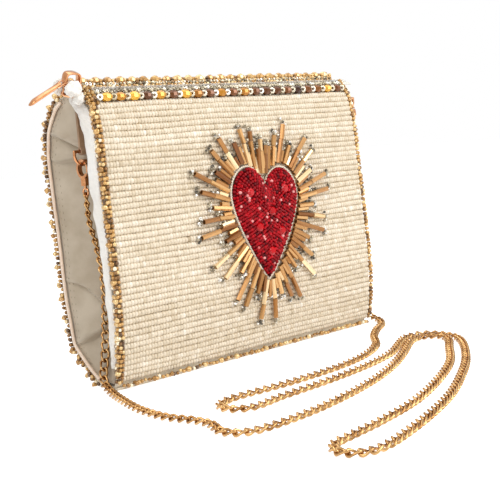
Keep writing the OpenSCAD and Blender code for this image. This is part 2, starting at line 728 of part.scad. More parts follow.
// Depth of the chain's end below the bar, where the last link hooks into the eye
eye_drop = hook_drop + hook_w / 2 + barrel_h + eye_gap + eye_d - wire_d - fit / 2;
module ring_loop(tail) {
  rotate([0, 90, 0]) difference() {
    cylinder(h = loop_w, d = ring_wire_d + 2 * play + 2 * loop_t, center = true);
    cylinder(h = loop_w + over, d = ring_wire_d + 2 * play, center = true);
  }
  low = ring_wire_d / 2 + play + loop_t / 4;
  translate([-loop_w / 2, -loop_t / 2, low]) cube([loop_w, loop_t, tail - low]);
}
// D ring, flat across X, hanging from its bar
module d_ring() {
  rotate([0, 90, 0]) cylinder(h = ring_r * 2, d = ring_wire_d, center = true);
  for (sign = [-1, 1]) {
    translate([sign * ring_r, 0, -ring_leg]) cylinder(h = ring_leg, d = ring_wire_d);
    translate([sign * ring_r, 0, 0]) sphere(d = ring_wire_d);
  }
  translate([0, 0, -ring_leg]) rotate([-90, 0, 0]) rotate_extrude(angle = 180)
    translate([ring_r, 0]) circle(d = ring_wire_d);
}
gate_low = -2.2;
gate_high = 2.4;
// Hook of the clasp in the YZ plane, with its gate opening toward the front, and its swivel barrel
module clasp_hook() {
  translate([0, 0, -hook_drop]) difference() {
    union() {
      rotate([0, 90, 0]) cylinder(h = hook_t, d = hook_w, center = true);
      translate([0, 0, -hook_w / 2 - barrel_h]) cylinder(h = barrel_h + hook_wall, d = barrel_d);
    }
    rotate([0, 90, 0]) cylinder(h = hook_t * 2, d = hook_hole_d, center = true);
    translate([-hook_t, -hook_w, gate_low]) cube([hook_t * 2, hook_w, gate_high - gate_low]);
    translate([0, 0, -hook_w / 2 - barrel_h - over])
      cylinder(h = barrel_h - hook_wall / 2 + over, d = post_d + 2 * play);
    translate([0, 0, -hook_w / 2 - barrel_h + hook_wall / 2])
      cylinder(h = barrel_h - hook_wall, d = post_d + 2 * play + hook_wall / 2);
  }
}
// Spring lever that closes the gate: an arc of the hook's ring that ends in a knuckle at its pivot
lever_pivot = [-(hook_w / 2 + hook_hole_d / 2 + play) / 2, gate_low + play + hook_wall / 2];
module clasp_lever() {
  translate([0, 0, -hook_drop]) {
    intersection() {
      rotate([0, 90, 0]) difference() {
        cylinder(h = hook_t - play, r = hook_w / 2, center = true);
        cylinder(h = hook_t * 2, r = hook_hole_d / 2 + play, center = true);
      }
      translate([-hook_t, -hook_w, lever_pivot[1]])
        cube([hook_t * 2, hook_w, gate_high - play - lever_pivot[1]]);
    }
    translate([0, lever_pivot[0], lever_pivot[1]]) rotate([0, 90, 0])
      cylinder(h = hook_t - play, d = hook_wall, center = true);
  }
}
// Swivel eye: a headed post in the barrel, and the eye that a link goes through, turned square to that link
module clasp_eye(i) {
  head_h = (barrel_h - hook_wall) / 2;
  x = link_x(i);
  translate([0, 0, -hook_drop - hook_w / 2 - barrel_h]) {
    translate([0, 0, hook_wall / 2 + play]) cylinder(h = head_h, d = post_d + hook_wall / 2);
    translate([0, 0, -eye_gap - wire_d / 2])
      cylinder(h = eye_gap + wire_d / 2 + hook_wall / 2 + play, d = post_d);
    translate([0, 0, -eye_gap - eye_d / 2]) rotate([90, 0, atan2(x[1], x[0]) + 90]) rotate_extrude()
      translate([(eye_d - wire_d) / 2, 0]) circle(d = wire_d);
  }
}
module ring_loop_left() {
  color("#efe9df") translate(bar_left) ring_loop(tail_left);
}
module ring_loop_right() {
  color("#efe9df") translate(bar_right) ring_loop(tail_right);
}
module d_ring_left() {
  color("#d49b63") translate(bar_left) d_ring();
}
module d_ring_right() {
  color("#d49b63") translate(bar_right) d_ring();
}
module clasp_hook_left() {
  color("#d08f5c") translate(bar_left) clasp_hook();
}
module clasp_hook_right() {
  color("#d08f5c") translate(bar_right) clasp_hook();
}
module clasp_lever_left() {
  color("#c98552") translate(bar_left) clasp_lever();
}
module clasp_lever_right() {
  color("#c98552") translate(bar_right) clasp_lever();
}
module clasp_eye_left() {
  color("#d08f5c") translate(bar_left) clasp_eye(links - 1);
}
module clasp_eye_right() {
  color("#d08f5c") translate(bar_right) clasp_eye(0);
}

// Chain: the route of its middle line over the floor, chosen by hand, from the right clasp to the left
chain_z = 2;
chain_route_right = [[96, 5, 88], [95, 6, 62], [94.5, 6.5, 36], [96, 5, 14], [97, -1, 4], [95, -10, 2]];
chain_route_floor = [
  [86, -20], [72, -28], [56, -40], [43, -53], [25, -63], [3, -69], [-20, -71], [-43, -71], [-64, -69],
  [-76, -69], [-84, -73], [-86, -79], [-83, -85], [-75, -88], [-60, -86], [-36, -85], [-12, -83],
  [12, -79], [32, -73], [50, -63], [64, -56], [75, -58], [79, -68], [76, -81], [62, -96], [36, -116],
  [10, -132], [-18, -147], [-46, -158], [-72, -166], [-87, -169], [-97, -167], [-101, -159],
  [-95, -152], [-83, -150], [-62, -147], [-32, -140], [0, -127], [30, -111], [56, -91], [69, -81],
  [74, -73], [71, -65], [62, -63], [50, -69], [34, -79], [12, -91], [-12, -101], [-40, -109],
  [-68, -114], [-92, -115], [-105, -112], [-109, -103], [-105, -93], [-105, -82], [-109, -66],
  [-108, -46], [-103, -26], [-97, -8]
];
chain_route_left = [
  [-93, 4, 5], [-88, 8.5, 14], [-85, 9.5, 30], [-83.5, 9.5, 50], [-84, 12, 68], [-85.5, 14.7, 82]
];
chain_points = concat(
  [bar_right - [0, 0, eye_drop]], chain_route_right,
  [for (p = chain_route_floor) [p[0], p[1], chain_z]],
  chain_route_left, [bar_left - [0, 0, eye_drop]]);
chain_line = smooth(chain_points, curve_steps);
chain_tx = run_table(chain_line, 0);
chain_ty = run_table(chain_line, 1);
chain_tz = run_table(chain_line, 2);
chain_run = chain_tx[len(chain_tx) - 1][0];
links = floor(chain_run / link_pitch);
link_step = chain_run / links;
joint = [for (i = [0 : links]) along3(chain_tx, chain_ty, chain_tz, i * link_step)];
// Side direction of each link, carried along the chain so that it never twists suddenly
link_side = [for (i = 0, v = [0, 1, 0]; i < links;
  i = i + 1,
  v = i < links ? let (t = unit(joint[i + 1] - joint[i])) unit(v - t * (v * t)) : v) v];
// Step to which the straight sides of a link are cut
link_grain = 0.02;
// One oval link about the origin, along Z, in the XZ plane
module link(l) {
  r = (link_w - wire_d) / 2;
  s = floor((l + wire_d - 2 * r + fit) / link_grain) * link_grain;
  for (up = [-1, 1]) {
    translate([0, 0, up * s / 2]) rotate([90, 0, 0]) rotate([0, 0, up > 0 ? 0 : 180])
      rotate_extrude(angle = 180, $fn = 24) translate([r, 0]) circle(d = wire_d, $fn = 16);
    translate([up * r, 0, 0]) cylinder(h = s, d = wire_d, center = true, $fn = 16);
  }
}
// Links lie 45 degrees to either side by turns, so that each seats in the next
function link_x(i) = let (
    t = unit(joint[i + 1] - joint[i]),
    v = unit(link_side[i] - t * (link_side[i] * t)),
    turn = i % 2 == 0 ? 1 : -1)
  unit(v + cross(t, v) * turn);
module link_at(i) {
  a = joint[i];
  b = joint[i + 1];
  t = unit(b - a);
  x = link_x(i);
  y = cross(t, x);
  m = (a + b) / 2;
  multmatrix([[x[0], y[0], t[0], m[0]], [x[1], y[1], t[1], m[1]], [x[2], y[2], t[2], m[2]], [0, 0, 0, 1]])
    link(norm(b - a));
}
module chain_part(from, to) {
  color("#d9a24a") for (i = [from : to]) {
    link_at(i);
  }
}
drop_right = len([for (j = joint) if (j[0] > 0 && j[1] > -link_w && j[2] > link_w) 1]);
drop_left = links - len([for (j = joint) if (j[0] < 0 && j[2] > link_w) 1]);
floor_parts = 4;
function floor_start(k) = drop_right + 1 + floor((drop_left - drop_right) * k / floor_parts);
module chain_drop_right() {
  chain_part(0, drop_right);
}
module chain_floor_a() {
  chain_part(floor_start(0), floor_start(1) - 1);
}
module chain_floor_b() {
  chain_part(floor_start(1), floor_start(2) - 1);
}
module chain_floor_c() {
  chain_part(floor_start(2), floor_start(3) - 1);
}
module chain_floor_d() {
  chain_part(floor_start(3), drop_left);
}
module chain_drop_left() {
  chain_part(drop_left + 1, links - 1);
}

bottom_strip();
back_board();
back_lining();
slip_pocket();
front_board();
front_beadwork();
front_lining();
gusset_left();
gusset_right();
front_band_left();
front_band_right();
back_piping_left();
back_piping_right();
zip_tape_front();
zip_tape_back();
zip_teeth_front();
zip_teeth_back();
zip_end_left();
zip_end_right();
zip_slider();
zip_pull();
trim_front_crystals();
trim_front_spacers();
trim_back_top();
trim_front_left();
trim_front_right();
trim_back_left();
trim_back_right();
trim_bottom();
heart_pad();
heart_outline();
heart_stones();
bugle_rays();
ray_end_beads();
ring_loop_left();
ring_loop_right();
d_ring_left();
d_ring_right();
clasp_hook_left();
clasp_hook_right();
clasp_lever_left();
clasp_lever_right();
clasp_eye_left();
clasp_eye_right();
chain_drop_left();
chain_floor_a();
chain_floor_b();
chain_floor_c();
chain_floor_d();
chain_drop_right();
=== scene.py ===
# Small beaded crossbody purse, its looks. Metres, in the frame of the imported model.
import random
from math import atan2, cos, exp, pi, radians, sin, tau

import bpy
import numpy as np
from mathutils import Matrix, Vector


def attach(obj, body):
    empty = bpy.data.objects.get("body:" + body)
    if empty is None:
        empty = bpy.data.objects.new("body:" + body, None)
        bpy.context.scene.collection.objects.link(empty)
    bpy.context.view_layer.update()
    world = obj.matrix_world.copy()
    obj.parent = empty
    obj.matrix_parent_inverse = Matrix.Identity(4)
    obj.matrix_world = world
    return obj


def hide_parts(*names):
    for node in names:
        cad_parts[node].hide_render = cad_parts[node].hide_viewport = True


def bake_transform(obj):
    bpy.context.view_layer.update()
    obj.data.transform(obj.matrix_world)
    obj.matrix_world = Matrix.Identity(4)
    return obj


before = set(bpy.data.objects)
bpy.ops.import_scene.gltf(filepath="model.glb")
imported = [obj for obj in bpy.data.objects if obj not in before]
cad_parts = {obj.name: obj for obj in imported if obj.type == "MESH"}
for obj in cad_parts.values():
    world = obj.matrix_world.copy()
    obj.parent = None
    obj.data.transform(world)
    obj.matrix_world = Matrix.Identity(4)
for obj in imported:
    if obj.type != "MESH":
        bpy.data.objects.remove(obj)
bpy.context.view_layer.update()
MM = 0.001
SIDES = {"left": -1, "right": 1}
rng = random.Random(7)

# Sizes of the bag, in mm, as in the part's source
BAG_W, FRONT_H, BACK_H = 180.0, 143.0, 147.8
FRONT_BULGE, BACK_BULGE, TAPER = 11.5, 43.5, 2.2
BOARD, LINING = 1.8, 0.8
ROW, SEED, PICOT = 2.9, 2.5, 3.6
CRYSTAL_D, CRYSTAL_L, SPACER_L = 4.2, 5.0, 2.9
HEART_W, HEART_H, HEART_X, HEART_Z, PAD = 46.0, 60.0, 8.0, 41.0, 3.0
BUGLE, RAYS = 1.9, 42
ZIP_MID, ZIP_TILT, TAPE_W = np.array((5.01, 145.0)), radians(24.6), 5.2
ZIP_DIR = np.array([cos(ZIP_TILT), sin(ZIP_TILT)])
ZIP_UP = np.array([-sin(ZIP_TILT), cos(ZIP_TILT)])
SEWN, ZIP_OUT = BAG_W / 2 - TAPER, 9.0
FOLD = 19.0
LINK_W, WIRE, PITCH = 4.6, 1.1, 4.6
BAR_LEFT, BAR_RIGHT, EYE_DROP = (-85.5, 15, 116.3), (96.5, 4.5, 135), 21.05

# Middle lines of the front and the back: shares of the bulge and of the height
FRONT_SHARES = [(0.47, 0.011), (0.74, 0.064), (0.94, 0.17), (1, 0.3), (0.91, 0.47), (0.75, 0.67),
                (0.65, 0.83), (0.46, 0.93), (0.2, 1)]
BACK_TOP = 0.264
BACK_SHARES = [(0.21, 0.0085), (0.31, 0.0175), (0.51, 0.058), (0.641, 0.09), (0.759, 0.122), (0.793, 0.16),
               (0.828, 0.218), (0.869, 0.278), (0.894, 0.358), (0.908, 0.441), (0.931, 0.528),
               (0.963, 0.619), (0.984, 0.697), (1, 0.769), (0.975, 0.819), (0.949, 0.857), (0.887, 0.892),
               (0.795, 0.926), (0.697, 0.954), (0.483, 0.982), (BACK_TOP, 1)]

# The chain's way, in mm: down from the right clasp, over the floor and up to the left clasp
CHAIN_RIGHT = [(96, 5, 88), (95, 6, 62), (94.5, 6.5, 36), (96, 5, 14), (97, -1, 4), (95, -10, 2)]
CHAIN_FLOOR = [
    (86, -20), (72, -28), (56, -40), (43, -53), (25, -63), (3, -69), (-20, -71), (-43, -71), (-64, -69),
    (-76, -69), (-84, -73), (-86, -79), (-83, -85), (-75, -88), (-60, -86), (-36, -85), (-12, -83),
    (12, -79), (32, -73), (50, -63), (64, -56), (75, -58), (79, -68), (76, -81), (62, -96), (36, -116),
    (10, -132), (-18, -147), (-46, -158), (-72, -166), (-87, -169), (-97, -167), (-101, -159), (-95, -152),
    (-83, -150), (-62, -147), (-32, -140), (0, -127), (30, -111), (56, -91), (69, -81), (74, -73),
    (71, -65), (62, -63), (50, -69), (34, -79), (12, -91), (-12, -101), (-40, -109), (-68, -114),
    (-92, -115), (-105, -112), (-109, -103), (-105, -93), (-105, -82), (-109, -66), (-108, -46),
    (-103, -26), (-97, -8)]
CHAIN_LEFT = [(-93, 4, 5), (-88, 8.5, 14), (-85, 9.5, 30), (-83.5, 9.5, 50), (-84, 12, 68), (-85.5, 14.7, 82)]
CHAIN_Z = 2


# Curves and directions
def smooth(points, n=4):
    """A smooth curve through points, with n steps between each two."""
    p = [np.array(q, float) for q in points]
    out = []
    for i in range(len(p) - 1):
        a, b, c, d = p[max(i - 1, 0)], p[i], p[i + 1], p[min(i + 2, len(p) - 1)]
        for k in range(n):
            t = k / n
            out.append((2 * b + (c - a) * t + (2 * a - 5 * b + 4 * c - d) * t * t
                        + (3 * b - a - 3 * c + d) * t ** 3) / 2)
    return np.array(out + [p[-1]])


class Line:
    """A line through points that is asked for its place and direction by the length run along it."""

    def __init__(self, points):
        self.p = np.array(points, float)
        self.s = np.concatenate([[0], np.cumsum(np.linalg.norm(np.diff(self.p, axis=0), axis=1))])
        self.length = self.s[-1]

    def at(self, s):
        return np.array([np.interp(s, self.s, self.p[:, k]) for k in range(self.p.shape[1])])

    def along(self, s, step=0.6):
        return unit(self.at(min(s + step, self.length)) - self.at(max(s - step, 0)))


def unit(v):
    return v / np.linalg.norm(v)


def quarter(v):
    """A direction in a plane, turned a quarter turn to the left."""
    return np.array([-v[1], v[0]])


def upright(v):
    """A direction of the bag's cross section, in space."""
    return np.array([0, v[0], v[1]])


def clamp(v):
    return min(max(v, 0), 1)


front_line = Line(smooth([(-a * FRONT_BULGE, b * FRONT_H) for a, b in FRONT_SHARES]))
back_line = Line(smooth([(a * BACK_BULGE, b * BACK_H) for a, b in BACK_SHARES], 3))


def y_of(line, z):
    return float(np.interp(z, line.p[:, 1], line.p[:, 0]))


def half_w(z):
    """Half the bag's width at a height: it tapers a little upward."""
    return BAG_W / 2 - TAPER * z / FRONT_H


def zip_at(x, across, up):
    """A place beside the zip: along the bag, across the tapes toward the back, and up from them, in mm."""
    c = ZIP_MID + ZIP_DIR * across + ZIP_UP * up
    return np.array([x, c[0], c[1]])


def new_object(name, data):
    o = bpy.data.objects.new(name, data)
    bpy.context.scene.collection.objects.link(o)
    return o


# Camera: the lens and the place were solved from the photograph's corners of the bag
camera = new_object("camera", bpy.data.cameras.new("camera"))
camera.data.sensor_width, camera.data.lens = 36, 72
bpy.context.scene.camera = camera
look, top = Vector((0.658, 0.7446, -0.1127)).normalized(), Vector((0.1332, 0.0323, 0.9906))
across = look.cross(top).normalized()
top = across.cross(look).normalized()
turn = Matrix((across, top, -look)).transposed().to_4x4()
camera.matrix_world = Matrix.Translation(Vector((-352.2, -404.5, 117.2)) * MM) @ turn


# Materials
def colour(text):
    v = [int(text[i:i + 2], 16) / 255 for i in (1, 3, 5)]
    return tuple(c / 12.92 if c <= 0.04045 else ((c + 0.055) / 1.055) ** 2.4 for c in v) + (1.0,)


def add(tree, kind, settings=(), **links):
    """Adds a node. Settings are its sockets or its own values. Links feed sockets, by name or as i0, i1."""
    n = tree.nodes.new(kind)
    for key, value in dict(settings).items():
        if key in n.inputs:
            n.inputs[key].default_value = value
        else:
            setattr(n, key, value)
    for key, value in links.items():
        tree.links.new(value, n.inputs[int(key[1:]) if key[1:].isdigit() else key])
    return n


def material(name, **settings):
    m = bpy.data.materials.new(name)
    m.use_nodes = True
    shader = m.node_tree.nodes["Principled BSDF"]
    for key, value in settings.items():
        shader.inputs[key.replace("_", " ")].default_value = value
    return m, m.node_tree, shader


def ramp(tree, source, stops):
    r = add(tree, "ShaderNodeValToRGB", Fac=source)
    elements = r.color_ramp.elements
    elements.remove(elements[1])
    elements[0].position, elements[0].color = stops[0][0], colour(stops[0][1])
    for place, c in stops[1:]:
        elements.new(place).color = colour(c)
    return r.outputs["Color"]


def noise(tree, size, detail):
    """Cloudy noise whose clouds are so many mm wide."""
    where = add(tree, "ShaderNodeTexCoord")
    cloud = add(tree, "ShaderNodeTexNoise", {"Scale": 1 / (size * MM), "Detail": detail},
                Vector=where.outputs["Object"])
    return cloud.outputs["Fac"]


def surface(tree, shader, tone, stops, height, strength, deep):
    """Colours a shader by a tone, and roughens it by a height, so many mm deep."""
    bump = add(tree, "ShaderNodeBump", {"Strength": strength, "Distance": deep * MM}, Height=height)
    tree.links.new(ramp(tree, tone, stops), shader.inputs["Base Color"])
    tree.links.new(bump.outputs["Normal"], shader.inputs["Normal"])


def make_plated(name, light, dark, rough):
    """Plated metal: polished, and a little uneven in tone."""
    m, tree, shader = material(name, Metallic=1.0, Roughness=rough)
    surface(tree, shader, noise(tree, 6, 3.0), [(0.3, dark), (0.7, light)], noise(tree, 0.4, 2.0), 0.15, 0.05)
    return m


def make_cloth(name, base, other, thread_mm, rough=0.85, strength=0.35, sheen=0.25):
    """Plain weave: threads over and under at a real spacing, with a slight change of tone over the piece."""
    m, tree, shader = material(name, Roughness=rough, Sheen_Weight=sheen, Sheen_Roughness=0.5)
    where = add(tree, "ShaderNodeTexCoord")
    threads = [add(tree, "ShaderNodeTexWave", {
        "wave_type": "BANDS", "bands_direction": way, "Scale": 1 / (thread_mm * MM) / 6.3, "Distortion": 1.2,
        "Detail": 1.0}, Vector=where.outputs["Object"]).outputs["Fac"] for way in ("DIAGONAL", "Z")]
    weave = add(tree, "ShaderNodeMath", {"operation": "MULTIPLY"}, i0=threads[0], i1=threads[1])
    surface(tree, shader, noise(tree, 14, 4.0), [(0.3, other), (0.65, base)], weave.outputs[0], strength, 0.12)
    return m


def make_beads(name, *colours, rough=0.18, metallic=0.0, coat=0.5, gloss=0.5):
    """Glass beads whose tone changes from bead to bead, drawn opaque because the thread fills them."""
    m, tree, shader = material(name, Roughness=rough, Metallic=metallic, Coat_Weight=coat, Coat_Roughness=0.08,
                               Specular_IOR_Level=gloss)
    tone = add(tree, "ShaderNodeAttribute", {"attribute_name": "tone"})
    surface(tree, shader, tone.outputs["Fac"], colours, noise(tree, 0.5, 2.0), 0.2, 0.06)
    return m


CHAIN_GOLD = make_plated("gold_plated_brass", "#d2aa74", "#946a3e", 0.22)
ROSE_GOLD = make_plated("rose_gold_plated_zinc", "#dda77c", "#b67a4e", 0.2)
ZIP_SILVER = make_plated("bright_aluminium", "#dcdad6", "#a9a6a0", 0.25)
CREAM_COTTON = make_cloth("cream_cotton_canvas", "#f0e6d2", "#e6dac3", 0.45)
LINING_TWILL = make_cloth("stone_polyester_lining", "#c2b49f", "#ab9b84", 0.3, rough=0.6, strength=0.2)
WHITE_COTTON = make_cloth("white_cotton_tape", "#faf7f1", "#efeae1", 0.4, strength=0.5)
PIPING_SATIN = make_cloth("shell_pink_satin_binding", "#fae6d2", "#f0d3b9", 0.3, rough=0.45, strength=0.15)
ZIP_TAPE = make_cloth("woven_zip_tape", "#efe9dd", "#dfd7c8", 0.5)
# Strap loop tape: the lining's colour darkened to brown, painted shade of the fold it hangs in
LOOP_TAPE_SHADE = make_cloth("loop_tape_painted_shade", "#b79473", "#987353", 0.4)
CREAM_THREAD = make_cloth("cream_silk_cord", "#f7ecd9", "#e8d8bd", 0.5, rough=0.5)
STITCH_THREAD = make_cloth("stone_sewing_thread", "#84745c", "#6b5c47", 0.3, rough=0.6)
RED_FELT = make_cloth("garnet_wool_felt", "#6a0410", "#4d020b", 0.5, sheen=0.05)
CREAM_BEADS = make_beads("opaque_cream_glass_beads", (0.0, "#ab9474"), (0.25, "#d6c6ab"), (0.75, "#ebdec9"),
                         (1.0, "#faf3e7"), rough=0.4, coat=0.12, gloss=0.35)
GOLD_BEADS = make_beads("gold_lined_glass_beads", (0.0, "#5a3a12"), (0.25, "#8f6226"), (0.55, "#c4954f"),
                        (0.85, "#e6c88e"), (1.0, "#fbeed0"), rough=0.22, metallic=0.35)
BRONZE_CRYSTAL = make_beads("bronze_cut_crystal", (0.0, "#321603"), (0.35, "#74400a"), (0.7, "#b97a14"),
                            (1.0, "#f0bb44"), rough=0.14, metallic=0.3, coat=0.25, gloss=0.3)
SILVER_BEADS = make_beads("silver_lined_glass_beads", (0.0, "#6d6049"), (0.4, "#b9ab8c"), (0.8, "#ece3cf"),
                          (1.0, "#fffdf8"), rough=0.15, metallic=0.5, coat=0.6)
RED_BEADS = make_beads("garnet_glass_beads", (0.0, "#4a0108"), (0.35, "#8a0410"), (0.75, "#b40616"),
                       (0.93, "#cc1c2a"), (1.0, "#f2a4a0"), rough=0.35, coat=0.03, gloss=0.14)
RED_STONES = make_beads("red_cut_glass", (0.0, "#a8030d"), (1.0, "#c80713"), rough=0.14, coat=0.05, gloss=0.3)
BUGLE_GOLD = make_beads("satin_gold_bugle_beads", (0.0, "#7c4a1e"), (0.3, "#ad7a43"), (0.7, "#cfa36b"),
                        (1.0, "#f3dcb0"), rough=0.32, metallic=0.6, coat=0.2)
CLEAR_BEADS = make_beads("silvery_clear_glass_beads", (0.0, "#3a3226"), (0.35, "#8b7d63"), (0.65, "#cbbfa4"),
                         (1.0, "#ffffff"), rough=0.15, metallic=0.3, coat=0.5)


# Modelling
def mode(name):
    bpy.ops.object.mode_set(mode=name)


def deselect():
    if bpy.context.object and bpy.context.object.mode == "EDIT":
        mode("OBJECT")
    bpy.ops.object.select_all(action="DESELECT")


def pick(pieces):
    """Selects pieces alone and makes the first one active."""
    deselect()
    for o in pieces:
        o.select_set(True)
    bpy.context.view_layer.objects.active = pieces[0]


def take(test, faces=False):
    """Selects the vertices or faces of the active piece that pass a test, in edit mode."""
    mode("EDIT")
    bpy.ops.mesh.select_mode(type="FACE" if faces else "VERT")
    bpy.ops.mesh.select_all(action="DESELECT")
    mode("OBJECT")
    mesh = bpy.context.object.data
    for part in mesh.polygons if faces else mesh.vertices:
        part.select = bool(test(part))
    mode("EDIT")


def new_torus(radius, wire, sides, wire_sides):
    bpy.ops.mesh.primitive_torus_add(major_segments=sides, minor_segments=wire_sides, major_radius=radius,
                                     minor_radius=wire)


def draw_out(height):
    """Extrudes the chosen faces of the active piece upward."""
    bpy.ops.mesh.extrude_region_move(TRANSFORM_OT_translate={"value": (0, 0, height)})


def face_outward():
    mode("EDIT")
    bpy.ops.mesh.select_all(action="SELECT")
    bpy.ops.mesh.normals_make_consistent(inside=False)
    mode("OBJECT")


def modify(kind, **values):
    """Gives the active piece a modifier and applies it."""
    bpy.ops.object.modifier_add(type=kind)
    modifier = bpy.context.object.modifiers[-1]
    for key, value in values.items():
        setattr(modifier, key, value)
    bpy.ops.object.modifier_apply(modifier=modifier.name)


def new_piece(name, verts, faces):
    mesh = bpy.data.meshes.new(name)
    mesh.from_pydata(verts, [], faces)
    return new_object(name, mesh)


def join_all(pieces):
    pick(pieces)
    if len(pieces) > 1:
        bpy.ops.object.join()
    return pieces[0]


def finish(piece, name, body, paint, replaces=None):
    """Names a piece, gives it its paint, puts it on its body, and hides the nodes it replaces: its namesake
    unless others are given.
    """
    piece.name = name
    piece.data.name = name
    piece.data.materials.clear()
    piece.data.materials.append(paint)
    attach(piece, body)
    replaces = [name] if replaces is None else replaces
    if replaces:
        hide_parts(*replaces)
    return piece


def skin(rings, sides, closed=False):
    """Faces between rings of points, and over the first and last ring unless they close on each other."""
    faces = []
    for i in range(rings if closed else rings - 1):
        a, b = i * sides, (i + 1) % rings * sides
        faces += [(a + k, a + (k + 1) % sides, b + (k + 1) % sides, b + k) for k in range(sides)]
    if not closed:
        faces += [tuple(reversed(range(sides))), tuple((rings - 1) * sides + k for k in range(sides))]
    return faces


def made_piece(name, verts, faces, body, paint, replaces=None, levels=0):
    """A piece from its corners and faces in metres, facing outward, and rounded by subdivision."""
    piece = new_piece(name, verts, faces)
    pick([piece])
    face_outward()
    if levels:
        modify("SUBSURF", levels=levels)
    bpy.ops.object.shade_smooth()
    return finish(piece, name, body, paint, replaces)


def cloth_grid(rows, thick, offset=-1.0, scale=MM):
    """Cloth over rows of points in mm, thickened to one side or to both."""
    deselect()
    bpy.ops.mesh.primitive_grid_add(x_subdivisions=len(rows[0]) - 1, y_subdivisions=len(rows) - 1, size=1)
    piece = bpy.context.object
    piece.data.vertices.foreach_set("co", (np.array(rows, float) * scale).ravel())
    modify("SOLIDIFY", thickness=thick * scale, offset=offset)
    face_outward()
    bpy.ops.object.shade_smooth()
    return piece


def tube(name, points, radii, sides):
    """A round cord through points, in mm. One radius makes it a closed loop, one for each point a length."""
    pts = [np.array(p, float) for p in points]
    n = len(pts)
    closed = len(radii) == 1
    verts, normal = [], None
    for i in range(n):
        a = pts[(i - 1) % n] if closed else pts[max(i - 1, 0)]
        b = pts[(i + 1) % n] if closed else pts[min(i + 1, n - 1)]
        t = unit(b - a)
        if normal is None:
            normal = unit(np.cross(t, [0.31, 0.9, 0.3]))
        normal = unit(normal - t * (normal @ t))
        other = np.cross(t, normal)
        for k in range(sides):
            g = tau * k / sides
            edge = (normal * cos(g) + other * sin(g)) * radii[i % len(radii)]
            verts.append(tuple((pts[i] + edge) * MM))
    piece = new_piece(name, verts, skin(n, sides, closed))
    for f in piece.data.polygons:
        f.use_smooth = True
    return piece


def copies(name, source, places, tones=None):
    """One mesh of many copies of a small piece, each at its own 4 by 4 place, with a tone for each copy."""
    mesh = source.data

    def read(items, what, kind, width=1):
        values = np.zeros(len(items) * width, kind)
        items.foreach_get(what, values)
        return values

    n, k = len(mesh.vertices), len(places)
    co = np.c_[read(mesh.vertices, "co", float, 3).reshape(-1, 3), np.ones(n)]
    loops, starts = read(mesh.loops, "vertex_index", int), read(mesh.polygons, "loop_start", int)
    soft = read(mesh.polygons, "use_smooth", bool)
    points = np.einsum("kij,nj->kni", np.array(places, float), co)[:, :, :3]
    new = bpy.data.meshes.new(name)
    new.vertices.add(n * k)
    new.vertices.foreach_set("co", points.ravel())
    new.loops.add(len(loops) * k)
    new.loops.foreach_set("vertex_index", (loops[None, :] + np.arange(k)[:, None] * n).ravel())
    new.polygons.add(len(starts) * k)
    new.polygons.foreach_set("loop_start", (starts[None, :] + np.arange(k)[:, None] * len(loops)).ravel())
    new.polygons.foreach_set("use_smooth", np.tile(soft, k))
    new.update(calc_edges=True)
    new.validate()
    values = np.array(tones if tones is not None else [rng.random() for _ in range(k)])
    tone = new.attributes.new("tone", "FLOAT", "POINT")
    tone.data.foreach_set("value", np.repeat(values, n).astype(np.float32))
    return new_object(name, new)


def placed(origin, x, y, z, size=1.0):
    """A 4 by 4 place, from an origin in mm and three axes."""
    m = np.eye(4)
    m[:3, 0], m[:3, 1], m[:3, 2] = np.array(x) * size, np.array(y) * size, np.array(z) * size
    m[:3, 3] = np.array(origin) * MM
    return m


models = []


def kept_model(soft=True):
    """Shades the active piece, of which copies will be made, and notes it to be removed at the end."""
    mode("OBJECT")
    (bpy.ops.object.shade_smooth if soft else bpy.ops.object.shade_flat)()
    models.append(bpy.context.object)
    return bpy.context.object


# Chain: curb links, each twisted along its length, so that the chain lies flat on the floor
CURB_WIRE, CURB_TWIST, LINK_PLAY = 1.3, radians(-112), 0.1
PATH_STEP = 3
clasp_ends = [[(bar[0], bar[1], bar[2] - EYE_DROP)] for bar in (BAR_RIGHT, BAR_LEFT)]
route = Line(smooth(clasp_ends[0] + CHAIN_RIGHT + [(x, y, CHAIN_Z) for x, y in CHAIN_FLOOR] + CHAIN_LEFT
                    + clasp_ends[1]))
link_count = int(route.length // PITCH)
link_step = route.length / link_count


def model_link():
    deselect()
    r = (LINK_W + 0.3 - CURB_WIRE) / 2 * MM
    new_torus(r, CURB_WIRE / 2 * MM, 18, 8)
    straight = (link_step + WIRE + LINK_PLAY) * MM - 2 * r
    for way in (1, -1):
        take(lambda v: v.co.y * way > 0)
        bpy.ops.transform.translate(value=(0, way * straight / 2, 0))
    mode("OBJECT")
    modify("SIMPLE_DEFORM", deform_method="TWIST", deform_axis="Y", angle=CURB_TWIST)
    return kept_model()


def turned(v, axis, angle):
    return v * cos(angle) + np.cross(axis, v) * sin(angle)


link = model_link()
joints = [route.at(i * link_step) for i in range(link_count + 1)]
carried, link_sides = np.array([0.0, 1.0, 0.0]), []
for a, b in zip(joints, joints[1:]):
    t = unit(b - a)
    carried = unit(carried - t * (carried @ t))
    link_sides.append((t, carried))
on_floor = [i for i in range(link_count) if max(joints[i][2], joints[i + 1][2]) < CHAIN_Z + 0.2]
first, last = on_floor[0], on_floor[-1]


def flat_angle(i):
    """The turn about the link that lays its side flat on the floor."""
    t, v = link_sides[i]
    flat = unit(np.cross((0, 0, 1), t))
    angle = atan2(np.cross(v, flat) @ t, v @ flat)
    return (angle + pi / 2) % pi - pi / 2


def eased(share):
    share = clamp(share)
    return share * share * (3 - 2 * share)


